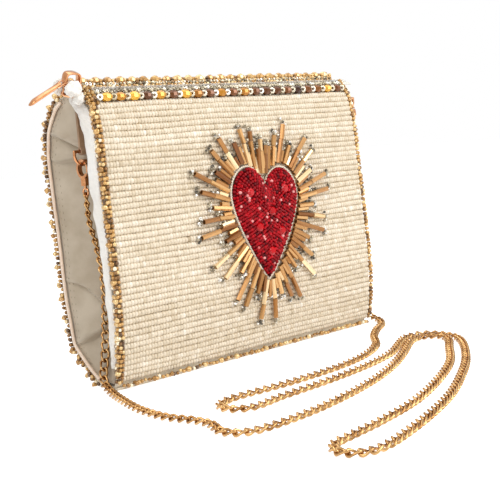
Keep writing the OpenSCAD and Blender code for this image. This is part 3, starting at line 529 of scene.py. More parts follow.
places = []
left_turn = 0 if link_count % 2 == 0 else pi / 2
for i, (t, v) in enumerate(link_sides):
    if i < first:
        angle = flat_angle(first) * eased(i / first)
    elif i > last:
        share = eased((link_count - 1 - i) / (link_count - 1 - last))
        angle = flat_angle(last) * share + left_turn * (1 - share)
    else:
        angle = flat_angle(i)
    x = turned(v, t, angle)
    places.append(placed((joints[i] + joints[i + 1]) / 2, x, t, np.cross(x, t)))
chain = copies("chain", link, places)
finish(chain, "chain", "bag", CHAIN_GOLD,
       ["chain_drop_left", "chain_floor_a", "chain_floor_b", "chain_floor_c", "chain_floor_d",
        "chain_drop_right"])
steps = int(route.length / PATH_STEP)
tuple(route.at(0) * MM)
[tuple(route.at(route.length * i / steps) * MM) for i in range(steps + 1)]


# Beads, each modelled once
def model_seed(d, length, sides=8, bevel=0.28, all_edges=False):
    """A seed bead along Z: a short length of glass cane, rounded at its rims or on all its edges."""
    deselect()
    bpy.ops.mesh.primitive_cylinder_add(vertices=sides, radius=d / 2 * MM, depth=length * MM)
    take(lambda f: all_edges or abs(f.normal.z) > 0.9, faces=True)
    bpy.ops.mesh.bevel(offset=length * bevel * MM, segments=1, affect="EDGES")
    return kept_model()


def model_ring_bead(d, length, hole, sides=10):
    """A seed bead whose hole shows: a thick ring along Z."""
    deselect()
    wall = (d - hole) / 4
    new_torus((d / 2 - wall) * MM, wall * MM, sides, 6)
    mode("EDIT")
    bpy.ops.mesh.select_all(action="SELECT")
    bpy.ops.transform.resize(value=(1, 1, length / (2 * wall)))
    return kept_model()


def model_cut_crystal(d, length, sides=8):
    """A cut crystal along Z: a belt of facets that tapers to both ends."""
    deselect()
    bpy.ops.mesh.primitive_cylinder_add(vertices=sides, radius=d / 2 * MM, depth=length * 0.34 * MM)
    for up in (1, -1):
        take(lambda f: f.normal.z * up > 0.9, faces=True)
        draw_out(up * length * 0.33 * MM)
        bpy.ops.transform.resize(value=(0.55, 0.55, 1))
        bpy.ops.transform.rotate(value=pi / sides, orient_axis="Z")
    return kept_model(soft=False)


def model_bugle():
    """A bugle bead 1 mm long along Z: a six sided tube of cane, so that it catches the light in bands."""
    deselect()
    bpy.ops.mesh.primitive_cylinder_add(vertices=6, radius=BUGLE * 0.7 * MM, depth=1 * MM)
    take(lambda f: abs(f.normal.z) > 0.9, faces=True)
    bpy.ops.mesh.inset(thickness=0.3 * MM)
    draw_out(0)
    bpy.ops.transform.resize(value=(1, 1, 0.6))
    return kept_model(soft=False)


def model_stitch():
    deselect()
    bpy.ops.mesh.primitive_uv_sphere_add(segments=6, ring_count=4, radius=0.5 * MM)
    return kept_model(soft=False)


def jitter(reach):
    return np.array([rng.uniform(-reach, reach) for _ in range(3)])


def tilted(axis, swing):
    """Three axes round a bead's hole, turned by a small random angle."""
    axis = unit(np.array(axis, float) + jitter(swing))
    other = unit(np.cross(axis, [0.3, 0.5, 0.81]))
    return other, np.cross(axis, other), axis


def near(tone, spread):
    """A random tone round a given one."""
    return clamp(rng.gauss(tone, spread))


class Beads:
    """Places and tones of the beads that are copies of one model."""

    def __init__(self, model):
        self.model, self.places, self.tones = model, [], []

    def put(self, at, axes, size, tone):
        self.places.append(placed(at, *axes, size))
        self.tones.append(tone)

    def piece(self, name, body, slot_name, paint, replaces=None):
        made = copies(name, self.model, self.places, self.tones)
        return finish(made, name, body, paint, replaces)


# Front: rows of cream seed beads, sewn side by side on horizontal threads
ROWS_LOW, BEAD_L = 2.4, 1.8
PARTED = (-32, 28)  # x at which the rows are parted into three pieces
row_count = int((front_line.length - ROWS_LOW - CRYSTAL_D) // ROW)
row_step = (front_line.length - ROWS_LOW - CRYSTAL_D) / row_count

# The heart was sewn on a little askew: it leans to the right round its own middle
HEART_LEAN = radians(4.4)
HEART_SET = np.array([1.1, -0.3])
HEART_CORE = HEART_H * 0.56


def leaned(p):
    q = (np.array(p, float) - (0, HEART_CORE)) * (1, 0.98)
    x = q @ (cos(HEART_LEAN), sin(HEART_LEAN))
    y = q @ (-sin(HEART_LEAN), cos(HEART_LEAN))
    return np.array([x, y + HEART_CORE]) + HEART_SET


half_heart = smooth([(a * HEART_W, b * HEART_H) for a, b in (
    (0, 0.83), (0.07, 0.93), (0.2, 0.995), (0.34, 0.98), (0.455, 0.89), (0.5, 0.755), (0.46, 0.6),
    (0.365, 0.43), (0.24, 0.26), (0.11, 0.1), (0, 0))])
heart_loop = np.array([leaned(p) for p in list(half_heart) + [(-p[0], p[1]) for p in half_heart[-2:0:-1]]])
HEART_MID = leaned((0, HEART_CORE))


def grown(k):
    """The heart's outline, scaled round its middle."""
    return HEART_MID + (heart_loop - HEART_MID) * k


def closed_line(loop):
    return Line(np.vstack([loop, loop[:1]]))


def inside(p, loop):
    x, y = p
    hit = False
    for (x1, y1), (x2, y2) in zip(loop, np.roll(loop, -1, axis=0)):
        if (y1 > y) != (y2 > y) and x < (x2 - x1) * (y - y1) / (y2 - y1) + x1:
            hit = not hit
    return hit


hidden = grown(0.86)
seed = model_seed(ROW * 1.16, BEAD_L, bevel=0.19, all_edges=True)
row_parts = {name: Beads(seed) for name in ("left", "middle", "right")}
for k in range(row_count):
    s = ROWS_LOW + (k + 0.5) * row_step
    up = front_line.along(s)
    out = quarter(up)
    c = front_line.at(s) - out * ROW * 0.56
    w = half_w(c[1]) - SEED / 2
    n = int(2 * w / BEAD_L)
    rng.random()  # drawn and not used: it keeps the later draws as they are
    row_tone = rng.uniform(-0.12, 0.12)
    for i in range(n):
        x = -w + (i + 0.5) * 2 * w / n
        if inside((x - HEART_X, c[1] - HEART_Z), hidden):
            continue
        wave = 0.24 * sin(x / 21 + k * 0.35) + 0.13 * sin(x / 9 - k * 0.8) + rng.uniform(-0.06, 0.06)
        p = c + up * wave + out * rng.uniform(-0.2, 0.04)
        face, hole = upright(out), unit(np.array([1.0, 0, 0]) + upright(up) * rng.uniform(-0.06, 0.06))
        part = row_parts["left" if x < PARTED[0] else "middle" if x < PARTED[1] else "right"]
        part.put((x, p[0], p[1]), (face, np.cross(hole, face), hole), rng.uniform(0.95, 1.03),
                 near(0.56 + row_tone, 0.11))
for name, part in row_parts.items():
    part.piece("bead_rows_" + name, "front", "cream_beads", CREAM_BEADS, ["front_beadwork"])

# Edge beads, whip stitched: each stitch carries a few seeds round the edge, and now and then a larger bead
FRONT_PITCH, BACK_PITCH, TOP_PITCH, LOW_PITCH = 2.25, 2.3, 2.4, 2.15
small = model_seed(2.0, 1.6)
round_bead = model_seed(3.5, 2.9, sides=10, bevel=0.42)


def stitch(beads, at, out, depth, run, steps, tone=0.5, swing=0.25):
    """Seeds of one stitch. Steps give each bead's place as (outward, inward) of the edge, in mm."""
    pts = [np.array(at) + np.array(out) * o + np.array(depth) * d for o, d in steps]
    for i, p in enumerate(pts):
        a, b = pts[max(i - 1, 0)], pts[min(i + 1, len(pts) - 1)]
        p = p + np.array(run) * rng.uniform(-0.25, 0.25) + jitter(0.12)
        beads.put(p, tilted(b - a, swing), rng.uniform(0.88, 1.12), near(tone, 0.27))


def gold_edge(name, groups, body, replaces=None):
    """Joins the small and the larger gold beads of an edge into one piece."""
    made = [copies(name, beads.model, beads.places, beads.tones) for beads in groups]
    finish(join_all(made), name, body, GOLD_BEADS, replaces)


def side_stitches(line, sign, pitch, spare, inward):
    """Number and place of each stitch of a side edge, and the directions out, in and along it."""
    n = int((line.length - 3) / pitch)
    for i in range(n):
        s = 2 + (i + 0.5) * (line.length - spare) / n
        c, up = line.at(s), line.along(s)
        yield (i, np.array([sign * half_w(c[1]), c[0], c[1]]), np.array([sign, 0, 0]),
               upright(quarter(up)) * -inward, upright(up))


for side, sign in SIDES.items():
    seeds, large = Beads(small), Beads(round_bead)
    for i, at, out, depth, run in side_stitches(front_line, sign, FRONT_PITCH, 3.5, 1):
        if i % 4 == 2:
            stitch(seeds, at, out, depth, run, [(-0.6, 0.4), (1.0, 3.9)])
            large.put(at + out * 1.3 + depth * 1.7, tilted(rng.choice([run, depth, out]), 0.5),
                      rng.uniform(0.9, 1.08), near(0.62, 0.2))
        else:
            round_edge = [(-0.5, 0.6), (0.7, 0.5), (1.3, 1.8), (1.1, 3.3), (0.6, 4.4)]
            stitch(seeds, at, out, depth, run, round_edge[:rng.choice([3, 4, 4, 5])], swing=0.4)
    gold_edge("trim_front_" + side, [seeds, large], "front")
for side, sign in SIDES.items():
    seeds, large = Beads(small), Beads(round_bead)
    for i, at, out, depth, run in side_stitches(back_line, sign, BACK_PITCH, 3, -1):
        stitch(seeds, at, out, depth, run, [(0.3, -1.0), (1.5, -0.6), (1.9, 0.8)][:rng.choice([1, 2, 3])], 0.4)
        if i % 7 in (1, 4):
            large.put(at + out * 0.8 + depth * -2.9, tilted(rng.choice([run, out]), 0.4),
                      rng.uniform(0.85, 1.02), near(0.6, 0.2))
    gold_edge("trim_back_" + side, [seeds, large], "bag")

# Back top edge: tight slanting stitches of gold seeds, with a cut gold bead between the groups
seeds, large = Beads(small), Beads(model_cut_crystal(3.8, 4.6))
half = half_w(BACK_H) + 0.6
n = int(2 * half / TOP_PITCH)
for i in range(n):
    at = np.array([-half + (i + 0.5) * 2 * half / n, BACK_BULGE * BACK_TOP - 1.4, BACK_H + 0.4])
    if i % 3 == 1:
        large.put(at + (0, 0, 1.5), tilted((1, 0, 0), 0.15), rng.uniform(0.9, 1.05), rng.uniform(0.35, 0.85))
        stitch(seeds, at, (0, 0, 1), (0, -1, 0), (1, 0, 0), [(-1.3, 1.6), (-1.6, -1.9)])
    else:
        stitch(seeds, at, (0.25, 0, 1), (0, -1, 0), (1, 0, 0),
               [(-1.5, 1.3), (0.1, 1.1), (1.5, 0.3), (1.5, -1.1), (0.2, -2.2)], 0.58, 0.18)
gold_edge("trim_back_top", [seeds, large], "bag")

# Front top edge: cut bronze crystals and silver seeds by turns
pitch = CRYSTAL_L + SPACER_L + 0.1
crystal_count = int((BAG_W - 2 * TAPER - 2 * SEED) / pitch)
edge_y = y_of(front_line, FRONT_H - CRYSTAL_D / 2) + ROW - CRYSTAL_D / 2 - 0.1
edge_z = FRONT_H - CRYSTAL_D / 2 + 0.1
crystals = Beads(model_cut_crystal(CRYSTAL_D, CRYSTAL_L))
for i in range(crystal_count):
    x, y, z = tilted((1, 0, 0), 0.09)
    crystals.put(((i - (crystal_count - 1) / 2) * pitch, edge_y, edge_z), (x, y, z * 1.12),
                 rng.uniform(1.0, 1.08), rng.choice([0.1, 0.3, 0.55, 0.75, 0.9]) + rng.uniform(-0.1, 0.1))
crystals.piece("trim_front_crystals", "front", "bronze_crystal", BRONZE_CRYSTAL)
spacers = Beads(model_ring_bead(3.6, 2.3, 1.1))
for i in range(crystal_count + 1):
    x0 = (i - crystal_count / 2) * pitch
    spacers.put((x0, edge_y - 0.2, edge_z), tilted((-0.55, -1.0, 0.25), 0.2), rng.uniform(0.95, 1.05),
                rng.uniform(0.4, 1))
    for up in (-1, 1):
        axes = tilted((0.2, 0.3, 1), 0.3)
        spacers.put((x0 + rng.uniform(-0.4, 0.4), edge_y + 1.3, edge_z + up * 2.2), axes, 0.55,
                    rng.uniform(0.1, 0.7))
spacers.piece("trim_front_spacers", "front", "silver_beads", SILVER_BEADS)

# Bottom edge: gold seeds and a few larger beads, loosely sewn under the rows
seeds, large = Beads(small), Beads(round_bead)
for i in range(int(BAG_W / LOW_PITCH)):
    at = np.array([-BAG_W / 2 + 1 + i * LOW_PITCH, y_of(front_line, ROWS_LOW + SEED / 2) - SEED / 2, ROWS_LOW])
    axes = tilted(rng.choice([(1, 0, 0.3), (1, 0, 0), (0.5, 0.3, 0.8)]), 0.4)
    seeds.put(at + (0, rng.uniform(-0.5, 0.4), rng.uniform(-0.4, 0.7)), axes, rng.uniform(0.9, 1.15),
              near(0.5, 0.27))
    if i % 5 == 3:
        large.put(at + (0, -1.5, 0.5), tilted((1, 0.2, 0.2), 0.6), rng.uniform(0.7, 0.9), rng.uniform(0.3, 0.9))
gold_edge("trim_bottom", [seeds, large], "front")


# Heart: a stuffed pad, quilted over with rows of garnet seeds that follow its outline
def on_front(q, lift):
    """A point in front of the rows, from its place beside the heart's foot, with the ways out and up there."""
    s = np.interp(HEART_Z + q[1], front_line.p[:, 1], front_line.s)
    up = front_line.along(s)
    c = front_line.at(s) + quarter(up) * lift
    return np.array([HEART_X + q[0], c[0], c[1]]), upright(quarter(up)), upright(up)


RIM = 2.4


def dome(p):
    """Height of the pad over a point of the heart, in mm: steep at the rim and flat at the middle."""
    return PAD * (1 - exp(-min(np.linalg.norm(heart_loop - np.array(p), axis=1)) / RIM))


PAD_RINGS = [1.0, 0.97, 0.93, 0.86, 0.76, 0.62, 0.45, 0.25]
verts = [tuple(on_front(q, dome(q) * 0.92 if k else 0.05)[0] * MM)
         for k, scale in enumerate(PAD_RINGS) for q in HEART_MID + (heart_loop - HEART_MID) * scale * 0.97]
pad = made_piece("heart_pad_felt", verts, skin(len(PAD_RINGS), len(heart_loop)), "front", RED_FELT,
                 ["heart_pad"])

stones = [leaned((a * HEART_W, b * HEART_H)) for a, b in (
    (-0.27, 0.77), (0.27, 0.8), (0.05, 0.6), (-0.16, 0.46), (0.19, 0.42), (0.01, 0.24))]
GARNET_PITCH, GARNET_LIFT, RING_STEP, STONE_ROOM = 1.75, 0.35, 1.62 / 27, 2.5
garnets = Beads(model_seed(2.0, 1.55))
scale = 0.965
while scale > 0.04:
    loop = closed_line(grown(scale))
    n = max(int(loop.length / GARNET_PITCH), 1)
    for i in range(n):
        s = (i + rng.uniform(-0.15, 0.15)) * loop.length / n % loop.length
        q = loop.at(s)
        if min(np.linalg.norm(q - c) for c in stones) < STONE_ROOM:
            continue
        p, out, _ = on_front(q, dome(q) + GARNET_LIFT)
        t = loop.along(s, 0.8)
        garnets.put(p, tilted(np.array([t[0], 0, t[1]]) + out * rng.uniform(-0.35, 0.35), 0.35),
                    rng.uniform(0.88, 1.1), near(0.5, 0.26))
    scale -= RING_STEP
garnets.piece("heart_seeds", "front", "red_beads", RED_BEADS, [])
places = []
for q in stones:
    p, out, up = on_front(q, dome(q) + 0.25)
    out = unit(out + up * rng.uniform(-0.2, 0.2) + (rng.uniform(-0.2, 0.2), 0, 0))
    up = unit(np.cross(out, [1, 0, 0]))
    places.append(placed(p, np.cross(up, out), up, out))
piece = copies("heart_stones", model_cut_crystal(5.0, 3.6, sides=9), places)
finish(piece, "heart_stones", "front", RED_STONES)

# Outline: two silk threads laid round the heart, twisted on each other
STRAND_R, TWIST_R, TWISTS, STRAND_STEPS = 0.42, 0.32, 62, 360
loop = closed_line(grown(1.03))
strands = []
for phase in (0, pi):
    pts = []
    for i in range(STRAND_STEPS):
        s = loop.length * i / STRAND_STEPS
        g = tau * i / STRAND_STEPS * TWISTS + phase
        q = loop.at(s) - quarter(loop.along(s, 0.8)) * cos(g) * TWIST_R
        pts.append(on_front(q, 0.65 + TWIST_R * sin(g))[0])
    strands.append(tube("strand", pts, [STRAND_R], 5))
finish(join_all(strands), "heart_outline", "front", CREAM_THREAD)

# Rays: bugle beads end to end, pointing out from the heart, and small clear seeds at their ends
TIP_SEEDS, SIDE_SEEDS = 6, 5
IN_SHARES = [0.5, 0.8, 0.55, 0.95, 0.6, 0.75]
OUT_SHARES = [0.35, 0.9, 0.6, 1, 0.45, 0.8, 0.7]
BUGLE_LIFT = BUGLE / 2 + 0.2
ring = closed_line(heart_loop)
ray_gap = ring.length / RAYS


def ray(i):
    """A ray's root, its direction, its start from there, and the lengths of its one or two bugles."""
    s = ring.length * (i + 0.5) / RAYS
    a, b = ring.at(max(s - ray_gap, 0)), ring.at(min(s + ray_gap, ring.length))
    root, away = ring.at(s), min(i, RAYS - 1 - i)
    square, radial = quarter(b - a), root - HEART_MID
    d = unit(unit(square) * np.sign(square @ radial) * min(0.4, 0.08 * away) + unit(radial))
    start = 1.2 + 1.4 * (1 + max(0, 2 - away) * 0.8)
    outer = (5 + 8 * OUT_SHARES[i % 7]) * (1 - 0.42 * max(d[1], 0) ** 2)
    return root, d, start, 7 + 6.5 * IN_SHARES[i % 6], outer if i % 3 != 1 else 0


bugles, end_seeds = Beads(model_bugle()), Beads(model_ring_bead(2.0, 1.5, 0.7, sides=8))


def lay_bugle(root, d, a, b, wander, lift=BUGLE_LIFT):
    """A bugle along a ray, from a to b mm off its root."""
    p, out, _ = on_front(root + d * a, lift + rng.uniform(-0.1, 0.3))
    q, _, _ = on_front(root + d * b + quarter(d) * wander, lift + rng.uniform(-0.1, 0.3))
    t = unit(q - p)
    spin = rng.random() * 6.28
    x = unit(out - t * (out @ t))
    y = np.cross(t, x)
    x, y = x * cos(spin) + y * sin(spin), y * cos(spin) - x * sin(spin)
    bugles.put((p + q) / 2, (x, y, t * np.linalg.norm(q - p)), 1.0, near(0.5, 0.25))


for i in range(RAYS):
    root, d, start, inner, outer = ray(i)
    lay_bugle(root, d, start, start + inner, rng.uniform(-0.3, 0.3))
    end = start + inner
    if outer:
        lay_bugle(root, d, end + 0.2, end + 0.2 + outer, rng.uniform(-0.4, 0.4))
        end += outer + 0.2
    fill = unit(d + quarter(d) * rng.uniform(0.1, 0.22))
    lay_bugle(root + quarter(d) * ray_gap / 2, fill, start + 0.2, start + rng.uniform(5, 10), 0,
              BUGLE_LIFT - 0.5)
    for k in range(TIP_SEEDS + SIDE_SEEDS):
        if k < TIP_SEEDS:
            along = end + 1.2 + rng.uniform(-0.4, 1.8)
            beside = rng.uniform(-2.2, 2.2) * (k > 0)
        else:
            along = start + inner * rng.uniform(0.6, 1.2)
            beside = rng.choice([-1, 1]) * rng.uniform(1.7, 2.6)
        p, out, _ = on_front(root + d * along + quarter(d) * beside, 0.7)
        axes = tilted(rng.choice([out, np.array([d[0], 0, d[1]])]), 0.4)
        end_seeds.put(p, axes, rng.uniform(0.55, 0.95), rng.random() ** 1.3)
bugles.piece("bugle_rays", "front", "bugle_beads", BUGLE_GOLD)
end_seeds.piece("ray_end_beads", "front", "clear_beads", CLEAR_BEADS)

# Gussets: one piece of lining cloth on each side, drawn inward in a deep fold and creased where it was pressed
SEAM_GAP = BOARD + LINING + 0.3
front_seam = Line([p + (ROW + SEAM_GAP, 0) for p in front_line.p if ROWS_LOW <= p[1] <= FRONT_H - SEED]
                  + [ZIP_MID - ZIP_DIR * TAPE_W / 2 - ZIP_UP * PICOT])
back_seam = Line([p - (SEAM_GAP, 0) for p in back_line.p if ROWS_LOW <= p[1] <= BACK_H - SEED]
                 + [ZIP_MID + ZIP_DIR * TAPE_W / 2 - ZIP_UP * PICOT])
fold = smooth([(0, 0), (0.08, 0), (0.13, 0.06), (0.17, 0.55), (0.22, 0.98), (0.31, 0.95), (0.45, 0.72),
               (0.61, 0.46), (0.76, 0.22), (0.9, 0.06), (1, 0)], 5)
# Each crease: its line over the side of the bag, its height and how far it reaches up
CREASES = [([(12, 112), (20, 118.5), (26, 122), (32, 124.5), (42, 126)], 4.6, 11),
           ([(14, 111.0), (22, 112.3), (28, 112.4), (34, 111.6), (42, 113)], 3.4, 7),
           ([(12, 36), (18, 43), (23, 48.5), (28, 50.8), (36, 51.6), (42, 52)], 3.6, 10),
           ([(10, 31), (16, 26), (22, 22.4), (27, 20.2), (34, 17.6)], 3.4, 7)]


def creased(y, z):
    """How far the cloth stands out round its pressed creases, in mm."""
    total = 0
    for line, height, reach in CREASES:
        ys, zs = zip(*line)
        u = z - np.interp(y, ys, zs)
        if abs(u) > 40:
            continue
        above = 1 / (1 + exp(-u / 0.28))
        h = above * exp(-max(u, 0) / reach) - 0.55 * (1 - above) * exp(min(u, 0) / 5)
        total += height * (h + 0.32 * exp(-((u - 1.1) / 0.9) ** 2)) * clamp((y - ys[0]) / 6)
    return total


def gusset_at(t, share, sign, proud=0):
    """A place on a gusset, in mm: t runs up its seams, and share from the front one to the back one."""
    a, b = front_seam.at(t * front_seam.length), back_seam.at(t * back_seam.length)
    y, z = a + (b - a) * share
    deep = FOLD * max(sin(pi * t), 0) ** 0.6 * float(np.interp(share, fold[:, 0], fold[:, 1]))
    lumps = 0.35 * sin(z / 5.3 + share * 4) + 0.3 * sin(z / 2.9 - share * 9 + sign)
    free = sin(pi * share) ** 0.7 * min(1, sin(pi * t) * 4)
    return sign * (half_w(z) - LINING - deep + (creased(y, z) + lumps) * free + proud), y, z


GUSSET_ROWS = 241
for side, sign in SIDES.items():
    shares = np.concatenate([np.linspace(0, 0.24, 17), np.linspace(0.26, 1, 34)])[::-sign]
    rows = [[gusset_at(i / (GUSSET_ROWS - 1), share, sign) for share in shares] for i in range(GUSSET_ROWS)]
    piece = finish(cloth_grid(rows, 0.5), "gusset_" + side, "bag", LINING_TWILL)
    piece.parent = None
    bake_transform(piece)
    flat_w = max(np.linalg.norm(np.diff(np.array(r), axis=0), axis=1).sum() for r in rows)
    grid = np.array(rows)
    corner, up, beside = grid[:-1, :-1], grid[1:, :-1], grid[:-1, 1:]

# Two lines of machine stitches up each gusset, beside its back seam
STITCH_L, STITCH_GAP, STITCH_D, STITCH_PROUD = 2.3, 1.1, 0.8, 0.2
for side, sign in SIDES.items():
    for k, share in enumerate((0.955, 0.905)):
        line = Line([gusset_at(i / 120, share, sign, STITCH_PROUD) for i in range(8, 116)])
        places = []
        for i in range(int(line.length / (STITCH_L + STITCH_GAP))):
            s = (i + 0.5) * (STITCH_L + STITCH_GAP)
            z = line.along(s, 0.5)
            x = unit(np.cross(z, [0.21, 0.93, 0.3]))
            places.append(placed(line.at(s), x * STITCH_D, np.cross(z, x) * STITCH_D, z * STITCH_L))
        name = f"topstitch_{side}_{k + 1}"
        finish(copies(name, model_stitch(), places), name, "bag", STITCH_THREAD, [])

# White bands: the padded front part of each gusset, turned out and crumpled. Height and width, height and shift
BAND = [(11, 2.4), (15, 3.6), (22, 5.0), (33, 5.2), (45, 5.2), (56, 5.2), (64, 5.6), (70, 6.6), (83, 7.9),
        (90, 8.0), (102, 8.4), (114, 8.3), (122, 8.8), (130, 10.8), (136, 11.2), (140, 9.5), (143.2, 6.5)]
BAND_SHIFT = [(0, 0), (118, 0), (126, -0.4), (132, 0.2), (138, 2.2), (143.2, 5.2)]
BAND_SIDES = 20
band_run = smooth(BAND, 6)
for side, sign in SIDES.items():
    verts = []
    for z, w in band_run:
        w *= 1 + 0.06 * sin(z / 3.1) + 0.05 * sin(z / 1.7 + 1)
        mid = y_of(front_seam, z) - 0.8 + w / 2 + 0.5 * sin(z / 8.5 + 2) + np.interp(z, *zip(*BAND_SHIFT))
        ends = min(1, (z - 10) / 3, (144.5 - z) / 2.5)
        for k in range(BAND_SIDES):
            g = tau * k / BAND_SIDES
            crumple = (0.3 * sin(3 * g + z / 2.3) + 0.22 * sin(5 * g - z / 1.6)
                       + 0.15 * sin(z * 1.9 + g))
            r = 1.35 * (1 + 0.85 * crumple * ends) * (1 + 0.5 * clamp((z - 124) / 14))
            across = sin(g) * w / 2 * (1 + 0.06 * crumple)
            verts.append((sign * (half_w(z) + 0.55 + cos(g) * r) * MM, (mid + across) * MM, z * MM))
    name = "front_band_" + side
    made_piece(name, verts, skin(len(band_run), BAND_SIDES), "front", WHITE_COTTON, levels=1)

# Piping along the back's side edges
PIPING_R, PIPING_STEP = 0.85, 1.5
for side, sign in SIDES.items():
    pts = []
    for s in np.arange(PIPING_STEP, back_line.length - PIPING_STEP, PIPING_STEP):
        y, z = back_line.at(s) + quarter(back_line.along(s)) * (BOARD + PIPING_R)
        if 2.4 < z < BACK_H - 7:
            pts.append((sign * (half_w(z) + 0.95), y, z))
    radii = [PIPING_R * (1 + 0.04 * sin(i * 1.3)) for i in range(len(pts))]
    name = "back_piping_" + side
    finish(tube(name, pts, radii, 10), name, "bag", PIPING_SATIN)

# Back: canvas over a stuffed panel, drawn in a little along its seams
rows = []
for s in np.linspace(0, back_line.length, 90):
    c, up = back_line.at(s), back_line.along(s)
    row = []
    for u in np.linspace(-1, 1, 81):
        edge = min(1 - abs(u), s / back_line.length * 2.2, (1 - s / back_line.length) * 2.2)
        drawn = 0.9 * exp(-edge * 26)
        pucker = (0.22 * sin(u * half_w(c[1]) / 1.9) * exp(-edge * 14)
                  + 0.16 * sin(s / 2.1) * exp(-(1 - abs(u)) * 22))
        swell = 0.35 * sin(u * 5 + s / 19) * cos(s / 27 - u * 3)
        y, z = c - quarter(up) * (-drawn + pucker + swell * min(1, edge * 6))
        row.append((u * half_w(c[1]), y, z))
    rows.append(row)
piece = cloth_grid(rows, 1.7)
finish(piece, "back_panel_canvas", "bag", CREAM_COTTON, ["back_board"])


# Linings: loose cloth inside, sewn at its edges
def lining(name, line, shift, low, high, wide, body, inward):
    rows = []
    for z in np.linspace(low, high, 46):
        w = min(wide, half_w(z) - LINING)
        row = []
        for u in np.linspace(-1, 1, 61):
            edge = min(1 - abs(u), (z - low) / (high - low), (high - z) / (high - low))
            loose = 0.25 * (1 + sin(u * 9 + z / 17)) * min(1, edge * 8) + 0.1 * sin(z / 3.3 + u * 25)
            row.append((u * w, y_of(line, z) + shift + inward * abs(loose) * 0.4, z))
        rows.append(row)
    return finish(cloth_grid(rows, 0.4, offset=0), name, body, LINING_TWILL)


back_in = -BOARD - LINING / 2
linings = [
    (lining("back_lining", back_line, back_in, 6, BACK_H - 4, BAG_W, "bag", -1), (0.176, 0.146),
     "back_panel_canvas"),
    (lining("front_lining", front_line, ROW + BOARD + LINING / 2, 6, FRONT_H - 6, BAG_W, "front", 1),
     (0.177, 0.133), "front_board"),
    (lining("slip_pocket", back_line, back_in - LINING, 36, 104, 55, "bag", -1), (0.110, 0.069),
     "back_panel_canvas")]

# Zip: woven tapes with a silver seed sewn at each stitch of their outer edges
TEETH_HALF, END_W, SEWN_SEEDS = 0.7, 4.0, 86
TAPES = (("front", "front", -1), ("back", "bag", 1))
for side, body, sign in TAPES:
    rows = []
    for x in np.linspace(-SEWN - ZIP_OUT, SEWN + ZIP_OUT, 150):
        wide = (TAPE_W if abs(x) < SEWN else END_W) - TEETH_HALF
        rows.append([zip_at(x, sign * (TEETH_HALF + wide * k / 6), 0.07 * sin(x / 4 + k * 2) * (k / 6))
                     for k in range(7)])
    finish(cloth_grid(rows, 0.5, offset=0), "zip_tape_" + side, body, ZIP_TAPE)
for side, body, sign in TAPES:
    sewn = Beads(end_seeds.model)
    for i in range(SEWN_SEEDS):
        x0 = -SEWN + 2.5 + i * (2 * SEWN - 5) / (SEWN_SEEDS - 1)
        at = zip_at(x0 + rng.uniform(-0.15, 0.15), sign * (TAPE_W - 0.45), 1.15 + rng.uniform(-0.1, 0.15))
        sewn.put(at, tilted((rng.uniform(-0.5, 0.9), -0.9, 0.45), 0.35), rng.uniform(0.85, 1.08), rng.random())
    sewn.piece("silver_row_" + side, body, "silver_beads", SILVER_BEADS, [])


# Folded tape ends: soft rolls past each end, rounded and crumpled
def tape_roll(sign, past, across, up, size):
    deselect()
    bpy.ops.mesh.primitive_uv_sphere_add(segments=28, ring_count=18, radius=1)
    roll = bpy.context.object
    spin = rng.random() * 6
    for v in roll.data.vertices:
        x, y, z = v.co
        crumple = 0.13 * sin(5 * atan2(y, z) + spin + x * 3) + 0.09 * sin(9 * x + spin * 2)
        v.co = Vector(tuple(zip_at(sign * (SEWN + past) + x * size[0] * (1 + crumple * 0.5),
                                   across + y * size[1] * (1 + crumple),
                                   up + z * size[2] * (1 + crumple) - 0.6 * x * x) * MM))
    bpy.ops.object.shade_smooth()
    return roll


# For each roll: how far past the seam, across and up its middle lies, and its half sizes
ROLLS = {
    "left": [(8.7, -4.7, 2.6, (4.4, 2.7, 3.6)), (10.4, 4.6, 0.6, (3.4, 2.3, 3.8)),
             (4.8, -4.0, -2.4, (3.4, 2.3, 3.0))],
    "right": [(4.4, -3.6, -3.4, (4.2, 2.2, 2.4)), (4.4, 4.0, -3.4, (4.2, 2.2, 2.4))],
}
for side, sign in SIDES.items():
    piece = join_all([tape_roll(sign, *roll) for roll in ROLLS[side]])
    face_outward()
    finish(piece, "zip_end_" + side, "bag", WHITE_COTTON)

# Strap loops: a folded tape round the bar of each D ring, coloured a brown of painted shade
LOOP_R, LOOP_HALF_W, LOOP_NECK = 0.75 + 0.3 + 0.4, 1.35, 0.42
for side, bar, tail in (("left", BAR_LEFT, 19.0), ("right", BAR_RIGHT, 3.8)):
    profile = [(sin(g) * LOOP_R, -cos(g) * LOOP_R) for g in np.linspace(-2.75, 2.75, 15)]
    profile = ([(-LOOP_NECK, tail), (-LOOP_NECK, LOOP_R + 1.2)] + profile
               + [(LOOP_NECK, LOOP_R + 1.2), (LOOP_NECK, tail)])
    rows = [[(bar[0] + u * LOOP_HALF_W, bar[1] + y, bar[2] + z) for u in (-1, -0.9, -0.4, 0, 0.4, 0.9, 1)]
            for y, z in profile]
    finish(cloth_grid(rows, 0.7, offset=0), "ring_loop_" + side, "bag", LOOP_TAPE_SHADE)


# CAD pieces whose shape is right get their real finish
def dress(paint, *names):
    for name in names:
        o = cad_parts[name]
        o.data.materials.clear()
        o.data.materials.append(paint)


dress(CREAM_COTTON, "front_board", "bottom_strip")
dress(ZIP_SILVER, "zip_teeth_front", "zip_teeth_back")
for side in SIDES:
    dress(ROSE_GOLD, *(part + side for part in ("d_ring_", "clasp_hook_", "clasp_lever_", "clasp_eye_")))


# Zip slider and pull: cast and plated, with rounded edges. Modelled in mm, along the zip, across it and up
SMOOTH_BELOW = radians(40)


def to_zip(piece, name, body):
    """Moves a piece from the slider's own axes to its place."""
    for v in piece.data.vertices:
        v.co = Vector(tuple(zip_at(v.co.x + SLIDER_X, v.co.y, v.co.z) * MM))
    finish(piece, name + "_cast", body, ROSE_GOLD, [name])


